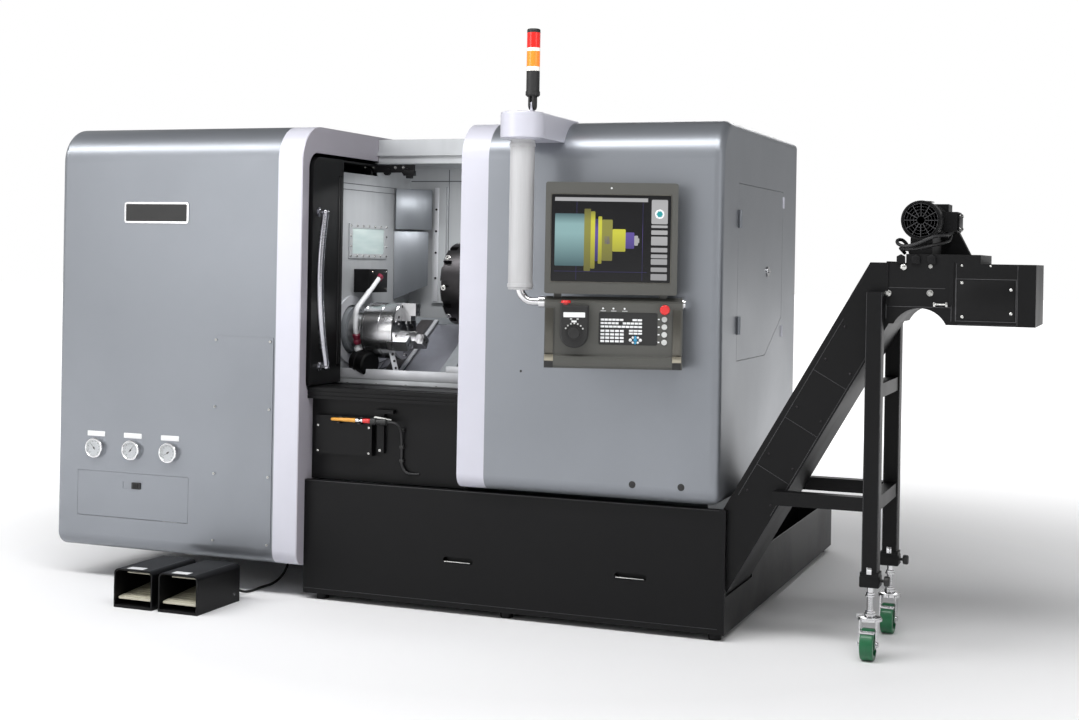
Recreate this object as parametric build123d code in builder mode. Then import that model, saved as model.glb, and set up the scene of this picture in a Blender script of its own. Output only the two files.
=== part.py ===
from build123d import *
from math import cos, pi, radians, sin, tan
import os

os.makedirs("parts", exist_ok=True)

# Slant-bed turning lathe with a right-hand chip conveyor, in millimetres
# +X runs along the spindle to the right, +Y to the back, +Z up
# The origin is the floor point under the middle of the whole outline

# Overall layout along X
left_housing_width = 1040.0
door_gap_width = 618.0
right_housing_width = 919.0
conveyor_reach = 964.0
overall_length = left_housing_width + door_gap_width + right_housing_width + conveyor_reach
x_left = -overall_length / 2
x_gap_left = x_left + left_housing_width
x_gap_right = x_gap_left + door_gap_width
x_side = x_gap_right + right_housing_width
x_end = x_side + conveyor_reach

# Overall layout along Y and Z
pedal_reach = 355.0
tank_back = 1890.0
housing_depth = 1150.0
machine_height = 1700.0
y_front = pedal_reach - (pedal_reach + tank_back) / 2
y_back = y_front + housing_depth
y_tank_back = y_front + tank_back

# Sheet metal
panel = 4.0
plate = 3.0
fit_gap = 0.5
slide_gap = 1.0
running_gap = 0.05

# Housings
left_bottom = 120.0
right_bottom = 445.0
shoulder_radius = 130.0
foot_radius = 50.0
end_radius = 22.0
corner_radius = 30.0
band_width = 100.0

# Door and its opening
opening_front = 45.0
opening_back = 990.0
opening_bottom = 725.0
opening_top = machine_height - 95.0
opening_radius = 60.0
door_front = 55.0
door_depth = 228.0
door_top = opening_top - 15.0
door_post_width = 60.0
door_length = 655.0
door_skin = 4.0
door_travel = 600.0

# Tank, recess and sill
tank_front = 50.0
tank_proud = 16.0
tank_skirt_top = 429.0
tank_rim = 220.0
tank_bottom = 22.0
tank_well_depth = 540.0
tank_wing_width = 150.0
tank_wall = 4.0
tank_notch = 145.0
slot_depth = 20.0
tank_foot_radius = 22.0
recess_front = 100.0
sill_bottom = 719.0
sill_top = 760.0
sill_front = 60.0

# Spindle line and slanted bed
spindle_y = y_front + 400.0
spindle_z = 955.0
bed_angle = 30.0
cover_drop = 165.0
bed_drop = 230.0
way_width = 45.0
way_height = 60.0
way_low = -70.0
way_high = 345.0
bed_left = x_left + 130.0
bed_right = x_side - 180.0
bed_foot_height = 60.0

# Chuck, spindle and turret
chuck_radius = 105.0
chuck_length = 135.0
chuck_bore = 33.0
chuck_face_x = x_gap_left + 217.0
spindle_radius = 45.0
spindle_bore = 26.0
jaw_width = 40.0
jaw_height = 52.0
jaw_proud = 55.0
jaw_count = 3
jaw_stroke = 3.7
turret_radius = 158.0
turret_width = 90.0
turret_retract = 354.0
turret_face_x = x_gap_left + 290.0
turret_stations = 12

# Chamber
chamber_front = 310.0
chamber_back = 900.0
chamber_right = x_side - 150.0
header_front = 590.0
header_bottom = machine_height - 104.0

# Pendant
mast_x = x_side - 620.0
mast_y = y_front - 190.0
mast_radius = 40.0
mast_bottom = 1133.0
head_radius = 73.0
head_bottom = machine_height - 75.0
head_top = machine_height + 8.0
arm_back = 150.0
swivel_radius = 25.0
console_turn = 19.0
hinge_z = 1097.0
shaft_radius = 14.0
elbow_radius = 42.0
console_left = 80.0
console_right = 505.0
console_back = -6.0
console_front = 52.0
monitor_bottom = 1124.0
monitor_top = 1483.0
keyboard_bottom = 886.0
keyboard_top = 1115.0
glass_left = 100.0
glass_right = 482.0
glass_bottom = 1164.0
glass_top = 1443.0
lip_top = 930.0
lip_front = 66.0
post_width = 30.0
post_top = 1080.0
post_proud = 4.0
membrane_left = 256.0
membrane_right = 446.0
membrane_bottom = 962.0
membrane_top = 1068.0
hand_left = 133.0
hand_right = 225.0
hand_bottom = 952.0
hand_top = 1089.0
hand_back = 57.0
hand_depth = 34.0
hand_stop_x = 151.0
wheel_z = 1000.0
wheel_radius = 22.0
wheel_stem = 5.0
stop_x = 467.0
stop_z = 1078.0
stop_radius = 16.0
stop_stem = 8.0
button_x = 467.0
button_radius = 9.0
button_stem = 6.0
button_heights = (1047.0, 1022.5, 998.0, 973.5)

# Light tower
beacon_y = y_front - 108.0
beacon_z = head_top + 33.0
knuckle_radius = 20.0
tower_radius = 22.0
tower_bottom = beacon_z + 31.0
tower_base_height = 80.0
lower_lens_height = 70.0
upper_lens_height = 56.0
cap_height = 13.0
lens_bottom = tower_bottom + tower_base_height
lens_split = lens_bottom + lower_lens_height
tower_top = lens_split + upper_lens_height + cap_height
core_radius = 8.0

# Conveyor
conveyor_front = 72.0
conveyor_width = 352.0
conveyor_angle = 60.4
incline_x = 20.0
incline_z = 462.0
incline_depth = 147.0
trough_left = x_gap_left + 150.0
trough_bottom = 60.0
trough_top = 200.0
head_top_z = 1242.0
bed_top_z = 1270.0
chute_bottom_z = 1051.0
chute_length = 110.0
arch_left = x_side + 538.0
arch_right = x_side + 698.0
arch_top_z = 1101.0
conveyor_wall = 5.0
leg_size = 50.0
leg_x = x_side + 485.0
leg_bottom = 228.0
strut_z = 505.0
stem_bottom = 128.0
stem_radius = 10.0
guard_small = 55.0
guard_large = 80.0
guard_shift = 84.0
guard_low_z = 1160.0
guard_depth = 46.0
motor_x = x_side + 616.0
motor_z = 1376.0
motor_radius = 62.0
caster_radius = 50.0
caster_trail = 25.0
tread_width = 42.0

# Pedals
pedal_width = 156.0
pedal_height = 135.0
pedal_length = 270.0
pedal_wall = 5.0
pedal_corner = 18.0
cord_exit_z = 40.0
pedal_left_x = x_gap_left - 439.0
pedal_pitch = 182.0

# Work planes
y_conveyor = y_front + conveyor_front
y_far = y_conveyor + conveyor_width
slope = Plane(
    origin=(0, spindle_y, spindle_z),
    x_dir=(1, 0, 0),
    z_dir=(0, -sin(radians(bed_angle)), cos(radians(bed_angle))),
)
console = Plane(
    origin=(mast_x, mast_y, 0),
    x_dir=(cos(radians(console_turn)), sin(radians(console_turn)), 0),
    z_dir=(sin(radians(console_turn)), -cos(radians(console_turn)), 0),
)
keyboard_left = console_left + 3.0
keyboard_width = console_right - console_left + 17.0
console_section = Plane(
    origin=console.from_local_coords(Vector(keyboard_left + keyboard_width, 0, 0)),
    x_dir=console.z_dir,
    z_dir=-console.x_dir,
)


def block(x, y, z, mode=Mode.ADD):
    """A box between the low and high value on each axis."""
    with Locations(((x[0] + x[1]) / 2, (y[0] + y[1]) / 2, (z[0] + z[1]) / 2)):
        Box(x[1] - x[0], y[1] - y[0], z[1] - z[0], mode=mode)


def rod(plane, radius, length, mode=Mode.ADD):
    """A round bar that starts on a plane and runs along its normal."""
    with BuildSketch(plane) as profile:
        Circle(radius)
    extrude(profile.sketch, amount=length, mode=mode)


def facing_front(y):
    """A plane that faces the operator at a depth y, with X to the right and Z up."""
    return Plane.XZ.offset(-y)


def across(x):
    """A plane square to the spindle at x, with Y to the right and Z up."""
    return Plane.YZ.offset(x)


def console_at(x, z, n):
    """A plane in the console's frame that faces the operator."""
    return Plane(console.from_local_coords(Vector(x, z, n)), x_dir=console.x_dir,
                 z_dir=console.z_dir)


def span(low, high):
    """The middle of a range."""
    return (low + high) / 2


def housing_outline(bottom, inset=0.0, mode=Mode.ADD):
    """Side outline of a housing: flat front, round shoulder and small round foot."""
    low, high = bottom + inset, machine_height - inset
    front, back = y_front + inset, y_back - inset
    with BuildSketch(mode=Mode.PRIVATE) as outline:
        with Locations((span(front, back), span(low, high))):
            Rectangle(back - front, high - low)
        ahead = outline.vertices().group_by(Axis.X)[0].sort_by(Axis.Y)
        fillet(ahead[-1], shoulder_radius - inset)
        ahead = outline.vertices().group_by(Axis.X)[0].sort_by(Axis.Y)
        fillet(ahead[0], foot_radius - inset)
    add(outline.sketch, mode=mode)


def housing_block(x_low, x_high, bottom, inset, round_face, radius):
    """A full housing form whose outer end is rounded over."""
    with BuildPart(mode=Mode.PRIVATE) as form:
        with BuildSketch(across(x_low)):
            housing_outline(bottom, inset)
        extrude(amount=x_high - x_low)
        end = form.faces().sort_by(Axis.X)[round_face]
        fillet(end.edges(), radius)
    return form.part


# Left housing, a folded shell over the headstock, open to the trim and below
flap_left = x_left + 95.0
flap_width = 489.0
flap_bottom = 240.0
flap_height = 170.0
x_band_left = x_gap_left - band_width
with BuildPart() as left_housing:
    add(housing_block(x_left, x_band_left, left_bottom, 0, 0, end_radius))
    inner = housing_block(
        x_left + panel, x_band_left + panel, left_bottom, panel, 0, end_radius - panel
    )
    add(inner, mode=Mode.SUBTRACT)
    # Open below for the bed and its feet
    block(
        (x_left + 60, x_band_left + 1),
        (y_front + 160, y_back - 20),
        (left_bottom - 1, left_bottom + panel + 1),
        Mode.SUBTRACT,
    )
    # Service pocket behind the flap
    block(
        (flap_left, flap_left + flap_width),
        (y_front - 1, y_front + panel + 1),
        (flap_bottom, flap_bottom + flap_height),
        Mode.SUBTRACT,
    )


def trim_band(x_low, x_wall, bottom):
    """A pale band round a housing's inner end, with the wall that the door runs through."""
    with BuildSketch(across(x_low)) as band:
        housing_outline(bottom)
        housing_outline(bottom, panel, Mode.SUBTRACT)
    extrude(band.sketch, amount=band_width)
    with BuildSketch(across(x_wall)) as wall:
        housing_outline(bottom)
        low, high = opening_bottom, opening_top
        front, back = y_front + opening_front, y_front + opening_back
        with Locations((span(front, back), span(low, high))):
            RectangleRounded(back - front, high - low, opening_radius, mode=Mode.SUBTRACT)
    extrude(wall.sketch, amount=panel)
    # Room for the bed, behind and below the opening
    block((x_wall - 1, x_wall + panel + 1), (y_front + 350, y_back - 20),
          (bottom - 1, opening_bottom + 400), Mode.SUBTRACT)


with BuildPart() as left_trim:
    trim_band(x_band_left, x_gap_left - panel, left_bottom)
    block(
        (x_band_left - 1, x_gap_left - panel),
        (y_front + 160, y_back - 20),
        (left_bottom - 1, left_bottom + panel + 1),
        Mode.SUBTRACT,
    )

# Right housing, with a rounded front corner and a doorway in its side
x_band_right = x_gap_right + band_width
side_front = 215.0
side_back = 892.0
side_bottom = 903.0
side_top = machine_height - 200.0
side_cut = 130.0


def side_doorway(inset):
    """Outline of the side access door with its lower rear corner cut off."""
    front, back = y_front + side_front + inset, y_front + side_back - inset
    low, high = side_bottom + inset, side_top - inset
    with BuildLine() as edge:
        Polyline(
            (front, low),
            (back - 2 * side_cut, low),
            (back, low + side_cut),
            (back, high),
            (front, high),
            close=True,
        )
    make_face(edge.edges())


with BuildPart() as right_housing:
    add(housing_block(x_band_right, x_side, right_bottom, 0, -1, corner_radius))
    inner = housing_block(
        x_band_right - panel, x_side - panel, right_bottom, panel, -1, corner_radius - panel
    )
    add(inner, mode=Mode.SUBTRACT)
    block(
        (x_band_right - 1, x_side - 60),
        (y_front + 160, y_back - 20),
        (right_bottom - 1, right_bottom + panel + 1),
        Mode.SUBTRACT,
    )
    with BuildSketch(across(x_side - panel - 1)):
        side_doorway(0)
    extrude(amount=panel + 2, mode=Mode.SUBTRACT)

with BuildPart() as right_trim:
    trim_band(x_gap_right, x_gap_right, right_bottom)
    block(
        (x_gap_right + panel, x_band_right + 1),
        (y_front + 160, y_back - 20),
        (right_bottom - 1, right_bottom + panel + 1),
        Mode.SUBTRACT,
    )

# Side access door, hung on its front edge, with a raised rim behind
with BuildPart() as side_door:
    with BuildSketch(across(x_side - panel)):
        side_doorway(slide_gap)
    extrude(amount=panel)
    chamfer(side_door.faces().sort_by(Axis.X)[-1].edges(), 1.0)
    # Two hinge barrels on the front edge
    for z in (side_bottom + 120, side_top - 120):
        with BuildSketch(Plane.XY.offset(z - 30)):
            with Locations((x_side + 6, y_front + side_front + 4)):
                Circle(6)
            with Locations((x_side + 2, y_front + side_front + 16)):
                Rectangle(4, 28)
        extrude(amount=60)
    # Hole for the latch
    latch_y = y_front + 655.0
    latch_z = 1202.0
    latch_radius = 14.0
    rod(
        Plane(across(x_side - panel - 1).from_local_coords(Vector(latch_y, latch_z, 0)),
              x_dir=(0, 1, 0), z_dir=(1, 0, 0)),
        latch_radius, panel + 2, Mode.SUBTRACT,
    )

with BuildPart() as side_latch:
    latch_plane = Plane((x_side - 14, latch_y, latch_z), x_dir=(0, 1, 0), z_dir=(1, 0, 0))
    rod(latch_plane, latch_radius - running_gap, 14)
    rod(latch_plane.offset(14), latch_radius + 5, 4)
    with BuildSketch(latch_plane.offset(18)):
        SlotOverall(30, 9)
    extrude(amount=6)
    # Tongue behind the sheet
    with BuildSketch(latch_plane):
        with Locations((0, -12)):
            Rectangle(16, 40)
    extrude(amount=6)

# Flap over the service pocket, with its lower edge rounded about the hinge line
hinge_radius = panel / 2
flap_hinge_z = flap_bottom + slide_gap + hinge_radius
flap_top = flap_bottom + flap_height - slide_gap
with BuildPart() as flap:
    with BuildSketch(facing_front(y_front + panel)):
        with Locations((flap_left + flap_width / 2, span(flap_hinge_z, flap_top))):
            Rectangle(flap_width - 2 * slide_gap, flap_top - flap_hinge_z)
    extrude(amount=panel)
    rod(Plane((flap_left + slide_gap, y_front + hinge_radius, flap_hinge_z), x_dir=(0, 1, 0),
              z_dir=(1, 0, 0)), hinge_radius, flap_width - 2 * slide_gap)
    slot_x = flap_left + flap_width / 2
    slot_z = flap_bottom + 124.0
    slot_width = 82.0
    slot_height = 26.0
    with BuildSketch(facing_front(y_front + 1.5)):
        with Locations((slot_x, slot_z)):
            Rectangle(slot_width, slot_height)
    extrude(amount=2, mode=Mode.SUBTRACT)

with BuildPart() as flap_latch:
    with BuildSketch(facing_front(y_front + 1.5)):
        with Locations((slot_x + 18, slot_z)):
            RectangleRounded(slot_width / 2 - 4, slot_height - 2, 2)
    extrude(amount=6)
    # Finger ribs
    with BuildSketch(facing_front(y_front - 4.5)):
        with Locations((slot_x + 18, slot_z)):
            with GridLocations(8, 0, 3, 1):
                Rectangle(3, slot_height - 8)
    extrude(amount=2)

# Screwed service panel beside the trim
service_left = x_left + 683.0
service_width = 250.0
service_bottom = 175.0
service_top = 935.0
with BuildPart() as service_panel:
    with BuildSketch(facing_front(y_front)):
        with Locations((service_left + service_width / 2, span(service_bottom, service_top))):
            RectangleRounded(service_width, service_top - service_bottom, 5)
    extrude(amount=plate)
    with BuildSketch(facing_front(y_front - plate)):
        with Locations((service_left + service_width / 2, span(service_bottom, service_top))):
            with GridLocations(service_width - 24, (service_top - service_bottom - 30) / 3, 2, 4):
                Circle(5)
    extrude(amount=2)

# Three pressure gauges in a row
gauge_x = x_left + 176.0
gauge_pitch = 163.0
gauge_z = 497.0
gauge_radius = 36.0
with BuildPart() as pressure_gauges:
    for i in range(3):
        centre = (gauge_x + i * gauge_pitch, y_front, gauge_z)
        with BuildSketch(Plane(centre, x_dir=(1, 0, 0), z_dir=(0, -1, 0))):
            Circle(gauge_radius)
        extrude(amount=18)
        with BuildSketch(Plane(centre, x_dir=(1, 0, 0), z_dir=(0, -1, 0)).offset(14)):
            Circle(gauge_radius - 5)
        extrude(amount=4, mode=Mode.SUBTRACT)

# Slanted bed casting with box ways and a leg at each end
bed_back = y_back - 30.0
bed_nose = y_front + 470.0
bed_leg_front = y_front + 610.0
bed_bottom = bed_foot_height


def slope_z(y, drop):
    """Height of a plane that lies a given drop under the spindle line."""
    return spindle_z - drop / cos(radians(bed_angle)) + (y - spindle_y) * tan(radians(bed_angle))


bed_wall = 45.0
pocket_count = 4
with BuildPart() as bed_casting:
    with BuildSketch(across(bed_left)):
        with BuildLine():
            Polyline(
                (bed_leg_front, bed_bottom),
                (bed_back, bed_bottom),
                (bed_back, slope_z(bed_back, bed_drop)),
                (bed_nose - 95, slope_z(bed_nose - 95, bed_drop)),
                (bed_nose - 95, 560),
                (bed_nose, 470),
                (bed_leg_front, 300),
                close=True,
            )
        make_face()
    extrude(amount=bed_right - bed_left)
    # Box ways on the slanted face
    with BuildSketch(slope.offset(-bed_drop)):
        for v in (way_low, way_high):
            with Locations((span(bed_left, bed_right), v)):
                Rectangle(bed_right - bed_left, way_width)
    extrude(amount=way_height)
    # Cored pockets between the ribs, open to the floor
    pocket_pitch = (bed_right - bed_left) / pocket_count
    for i in range(pocket_count):
        x_low = bed_left + i * pocket_pitch + bed_wall / 2
        block(
            (x_low, x_low + pocket_pitch - bed_wall),
            (bed_leg_front + bed_wall, bed_back - bed_wall),
            (bed_bottom - 1, slope_z(bed_leg_front + bed_wall, bed_drop) - bed_wall),
            Mode.SUBTRACT,
        )

# Levelling feet with anchor holes, screwed up into the bed
foot_pad = 60.0
foot_height = 18.0
foot_y = (bed_leg_front + 22.0, bed_back - 22.0)
foot_x = (bed_left + 90.0, span(bed_left, bed_right) - 12.0, bed_right - 90.0)
with BuildPart() as leveling_feet:
    for x in foot_x:
        for y in foot_y:
            with BuildSketch(Plane.XY):
                with Locations((x, y)):
                    Circle(foot_pad)
            extrude(amount=foot_height, taper=8)
            rod(Plane.XY.offset(foot_height).move(Location((x, y, 0))), 16, bed_bottom - foot_height)
            with BuildSketch(Plane.XY.offset(bed_bottom - 14)):
                with Locations((x, y)):
                    RegularPolygon(26, 6)
            extrude(amount=14)

# Coolant tank: a low well under the chamber, a wing to the back and a tall front skirt
x_tank = x_side + tank_proud
with BuildPart() as coolant_tank:
    y_skirt = y_front + tank_front
    with BuildSketch(Plane.XY.offset(tank_bottom)):
        with BuildLine():
            Polyline(
                (x_gap_left + fit_gap, y_skirt),
                (x_tank, y_skirt),
                (x_tank, y_tank_back),
                (x_tank - tank_wing_width, y_tank_back),
                (x_tank - tank_wing_width, y_skirt + tank_well_depth),
                (x_gap_left + fit_gap, y_skirt + tank_well_depth),
                close=True,
            )
        well = make_face()
    extrude(amount=tank_rim - tank_bottom)
    with BuildSketch(Plane.XY.offset(tank_bottom + tank_wall)):
        offset(well, amount=-tank_wall, kind=Kind.INTERSECTION)
    extrude(amount=tank_rim, mode=Mode.SUBTRACT)
    # Tall skirt across the front, with a folded top edge
    block((x_gap_left + fit_gap, x_tank), (y_skirt, y_skirt + tank_wall),
          (tank_bottom, tank_skirt_top))
    block((x_gap_left + fit_gap, x_tank), (y_skirt, y_skirt + 22),
          (tank_skirt_top - tank_wall, tank_skirt_top))
    # Right end of the skirt, folded back
    block((x_tank - tank_wall, x_tank), (y_skirt, y_skirt + 20),
          (tank_bottom, tank_skirt_top))
    # Recessed hand slots
    for x in (x_gap_left + 607.0, x_gap_left + 1233.0):
        with BuildSketch(facing_front(y_skirt + tank_wall + 1)):
            with Locations((x, 186.0)):
                SlotOverall(112, 22)
        extrude(amount=tank_wall + 2, mode=Mode.SUBTRACT)
        with BuildSketch(facing_front(y_skirt + slot_depth)):
            with Locations((x, 186.0)):
                SlotOverall(124, 34)
                SlotOverall(112, 22, mode=Mode.SUBTRACT)
        extrude(amount=slot_depth - tank_wall)
    # Notch in the right rim for the conveyor
    block((x_tank - tank_wall - 1, x_tank + 1), (y_conveyor - 4, y_far + 4),
          (tank_notch, tank_rim + 1), Mode.SUBTRACT)
    # Round feet
    for x, y in (
        (x_gap_left + 60, y_skirt + 40),
        (span(x_gap_left, x_tank), y_skirt + 40),
        (x_tank - 40, y_skirt + 40),
        (x_tank - 40, y_tank_back - 60),
        (x_gap_left + 60, y_skirt + tank_well_depth - 40),
    ):
        rod(Plane.XY.move(Location((x, y, 0))), tank_foot_radius, tank_bottom)

# Black panel under the door with the ribbed sill and the wash box
with BuildPart() as front_recess:
    y_recess = y_front + recess_front
    x_low, x_high = x_gap_left + fit_gap, x_gap_right - fit_gap
    block((x_low, x_high), (y_recess, y_recess + panel), (tank_skirt_top, sill_top))
    # Sill deck that the door rides over, with ribs along its front
    with BuildSketch(across(x_low)):
        with BuildLine():
            y_sill = y_front + sill_front
            Polyline(
                (y_sill, sill_bottom),
                (y_recess + 1, sill_bottom),
                (y_recess + 1, sill_top - 12),
                (y_front + chamber_front, sill_top - 12),
                (y_front + chamber_front, sill_top),
                (y_sill + 3, sill_top),
                (y_sill, sill_top - 3),
                close=True,
            )
        make_face()
        for z in (sill_bottom + 13, sill_bottom + 27):
            with Locations((y_sill, z)):
                Rectangle(6, 4, mode=Mode.SUBTRACT)
    extrude(amount=x_high - x_low)
    # Door track, two shallow rails on the deck
    for y in (y_front + door_front + 40, y_front + door_front + door_depth - 40):
        block((x_low, x_high), (y - 4, y + 4), (sill_top, sill_top + 2))
    # Wash box and its bracket
    block((x_gap_left + 30, x_gap_left + 255), (y_recess - 28, y_recess), (523, 660))
    block((x_gap_left + 268, x_gap_left + 296), (y_recess - 14, y_recess), (535, 676))
    block((x_gap_left + 262, x_gap_left + 334), (y_recess - 20, y_recess), (676, 690))

# Chamber lining: end walls, back wall, apron, header and roof
liner = 4.0
x_liner = x_gap_left - 14.0
y_chamber = y_front + chamber_front
y_chamber_back = y_front + chamber_back
y_header = y_front + header_front
header_top = machine_height - 10.0
guide_slot_z = header_bottom - 48.0
column_bottom = 1050.0
with BuildPart() as chamber_liner:
    # Back wall
    block((x_liner, chamber_right), (y_chamber_back, y_chamber_back + liner),
          (slope_z(y_chamber_back, bed_drop) + 8, header_bottom))
    # Left wall with a round hole for the chuck and a cut that follows the bed
    with BuildSketch(across(x_liner)):
        with BuildLine():
            Polyline(
                (y_chamber, sill_top + 10),
                (y_chamber + 40, slope_z(y_chamber + 40, cover_drop) + 6),
                (y_chamber_back + liner, slope_z(y_chamber_back + liner, cover_drop) + 6),
                (y_chamber_back + liner, header_bottom),
                (y_header + 12, header_bottom),
                (y_header + 12, guide_slot_z),
                (y_chamber, guide_slot_z),
                close=True,
            )
        make_face()
        with Locations((spindle_y, spindle_z)):
            Circle(92, mode=Mode.SUBTRACT)
    extrude(amount=liner)
    # Right wall
    block((chamber_right - liner, chamber_right), (y_chamber, y_chamber_back),
          (1290, header_bottom))
    # Ceiling inside, then header and roof between the housings
    block((x_liner, chamber_right), (y_header, y_chamber_back + liner),
          (header_bottom, header_bottom + liner))
    block((x_gap_left + fit_gap, x_gap_right - fit_gap), (y_header, y_header + liner),
          (header_bottom, header_top))
    block((x_gap_left + fit_gap, x_gap_right - fit_gap), (y_header, y_back),
          (header_top - liner, header_top))
    # Door rail under the header
    block((x_gap_left + fit_gap, x_gap_right - fit_gap), (y_header - 12, y_header),
          (header_bottom + 30, header_bottom + 46))
    # Vertical joint cover on the back wall
    block((x_gap_left + 100, x_gap_left + 158), (y_chamber_back - 14, y_chamber_back),
          (column_bottom, header_bottom - 76))
    # Front ledge behind the sill, running the whole chamber
    with BuildSketch(across(x_liner + liner)):
        with BuildLine():
            Polyline(
                (y_chamber + 1, 735),
                (y_chamber + 1, 812),
                (y_chamber + 38, 812),
                (y_chamber + 38, 806),
                (y_chamber + 7, 806),
                (y_chamber + 7, 735),
                close=True,
            )
        make_face()
    extrude(amount=chamber_right - x_liner - liner)
    # Lamp window and its frame on the left wall
    block((x_liner + liner, x_liner + liner + 6), (y_chamber + 60, y_chamber + 372),
          (1225, 1358))
    block((x_liner + liner + 2, x_liner + liner + 7), (y_chamber + 84, y_chamber + 348),
          (1243, 1340), Mode.SUBTRACT)

# Bed cover in overlapping stainless steps between the ways
with BuildPart() as way_covers:
    steps = 6
    cover_left = x_gap_left
    step_length = (chamber_right - 10 - cover_left) / steps
    for i in range(steps):
        with BuildSketch(slope.offset(-cover_drop - 6)):
            with Locations((cover_left + (i + 0.5) * step_length, span(way_low, way_high))):
                Rectangle(step_length + 4, way_high - way_low - way_width - 8)
        extrude(amount=2 + 2 * (i % 2))
    # Stiffening leg along the low edge
    with BuildSketch(slope.offset(-bed_drop)):
        with Locations((span(cover_left, chamber_right), way_low + 40)):
            Rectangle(chamber_right - cover_left - 20, 5)
    extrude(amount=bed_drop - cover_drop - 5)

# Headstock on the bed, with a round nose through the chamber wall
head_left = x_gap_left - 650.0
nose_x = x_gap_left + 12.0
with BuildPart() as headstock:
    with BuildSketch(across(head_left)):
        with Locations((spindle_y, spindle_z)):
            Circle(86)
        with BuildLine():
            Polyline(
                (spindle_y - 15, spindle_z - 84),
                (spindle_y + 92, slope_z(spindle_y + 92, bed_drop)),
                (spindle_y + 400, slope_z(spindle_y + 400, bed_drop)),
                (spindle_y + 330, spindle_z + 190),
                (spindle_y + 20, spindle_z + 84),
                close=True,
            )
        make_face()
    extrude(amount=x_gap_left - 60 - head_left)
    rod(Plane(across(x_gap_left - 60).from_local_coords(Vector(spindle_y, spindle_z, 0)),
              x_dir=(0, 1, 0), z_dir=(1, 0, 0)), 86, nose_x - x_gap_left + 60)
    rod(Plane((head_left - 1, spindle_y, spindle_z), x_dir=(0, 1, 0), z_dir=(1, 0, 0)),
        spindle_radius + running_gap, nose_x - head_left + 2, Mode.SUBTRACT)
    # Seats over the two ways
    with BuildSketch(slope.offset(-bed_drop - 1)):
        for v in (way_low, way_high):
            with Locations((x_gap_left - 300, v)):
                Rectangle(900, way_width)
    extrude(amount=way_height + 1, mode=Mode.SUBTRACT)

spindle_plane = Plane((head_left - 60, spindle_y, spindle_z), x_dir=(0, 1, 0), z_dir=(1, 0, 0))
chuck_back_x = chuck_face_x - chuck_length
with BuildPart() as spindle:
    rod(spindle_plane, spindle_radius, chuck_back_x - head_left + 60)
    rod(Plane((nose_x + 1, spindle_y, spindle_z), x_dir=(0, 1, 0), z_dir=(1, 0, 0)),
        64, chuck_back_x - nose_x - 1)
    rod(spindle_plane.offset(4), 62, 34)
    rod(spindle_plane.offset(-1), spindle_bore, 1000, Mode.SUBTRACT)

# Three-jaw power chuck with T-slots, bolt holes and a through bore
chuck_plane = Plane((chuck_back_x, spindle_y, spindle_z), x_dir=(0, 1, 0), z_dir=(1, 0, 0))
jaw_slot_depth = 24.0
with BuildPart() as chuck_body:
    with BuildSketch(chuck_plane):
        Circle(chuck_radius)
    extrude(amount=chuck_length)
    chamfer(chuck_body.edges().filter_by(GeomType.CIRCLE), 3)
    # Shallow groove that parts the rear ring from the face ring
    with BuildSketch(chuck_plane.offset(chuck_length - 62)):
        Circle(chuck_radius + 1)
        Circle(chuck_radius - 3, mode=Mode.SUBTRACT)
    extrude(amount=6, mode=Mode.SUBTRACT)
    with BuildSketch(chuck_plane.offset(-1)):
        Circle(chuck_bore)
    extrude(amount=chuck_length + 2, mode=Mode.SUBTRACT)
    with BuildSketch(chuck_plane.offset(chuck_length - jaw_slot_depth)):
        with PolarLocations(0, jaw_count, start_angle=90):
            with Locations((chuck_radius / 2 + 20, 0)):
                Rectangle(chuck_radius + 40, jaw_width + 2 * running_gap)
    extrude(amount=jaw_slot_depth + 1, mode=Mode.SUBTRACT)
    with BuildSketch(chuck_plane.offset(chuck_length - 12)):
        with PolarLocations(86, jaw_count, start_angle=30):
            Circle(8)
        with PolarLocations(58, jaw_count, start_angle=30):
            Circle(5)
    extrude(amount=13, mode=Mode.SUBTRACT)


def chuck_jaw(index):
    """One stepped top jaw in its slot, gripping towards the axis."""
    turn = 90 + 360 / jaw_count * index
    local = Plane(
        (chuck_face_x - jaw_slot_depth, spindle_y, spindle_z),
        x_dir=(0, cos(radians(turn)), sin(radians(turn))),
        z_dir=(1, 0, 0),
    )
    seat = 0.1
    with BuildPart() as jaw:
        with BuildSketch(local.offset(seat)):
            with Locations((72, 0)):
                Rectangle(66, jaw_width)
        extrude(amount=jaw_slot_depth + jaw_proud - seat)
        # Steps down towards the axis
        with BuildSketch(local.offset(jaw_slot_depth + jaw_proud - 20)):
            with Locations((48, 0)):
                Rectangle(22, jaw_width + 2)
        extrude(amount=21, mode=Mode.SUBTRACT)
        # Screw pockets in the front face
        with BuildSketch(local.offset(jaw_slot_depth + jaw_proud - 14)):
            with Locations((72, 0), (92, 0)):
                Circle(7)
        extrude(amount=15, mode=Mode.SUBTRACT)
    return jaw.part


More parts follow.
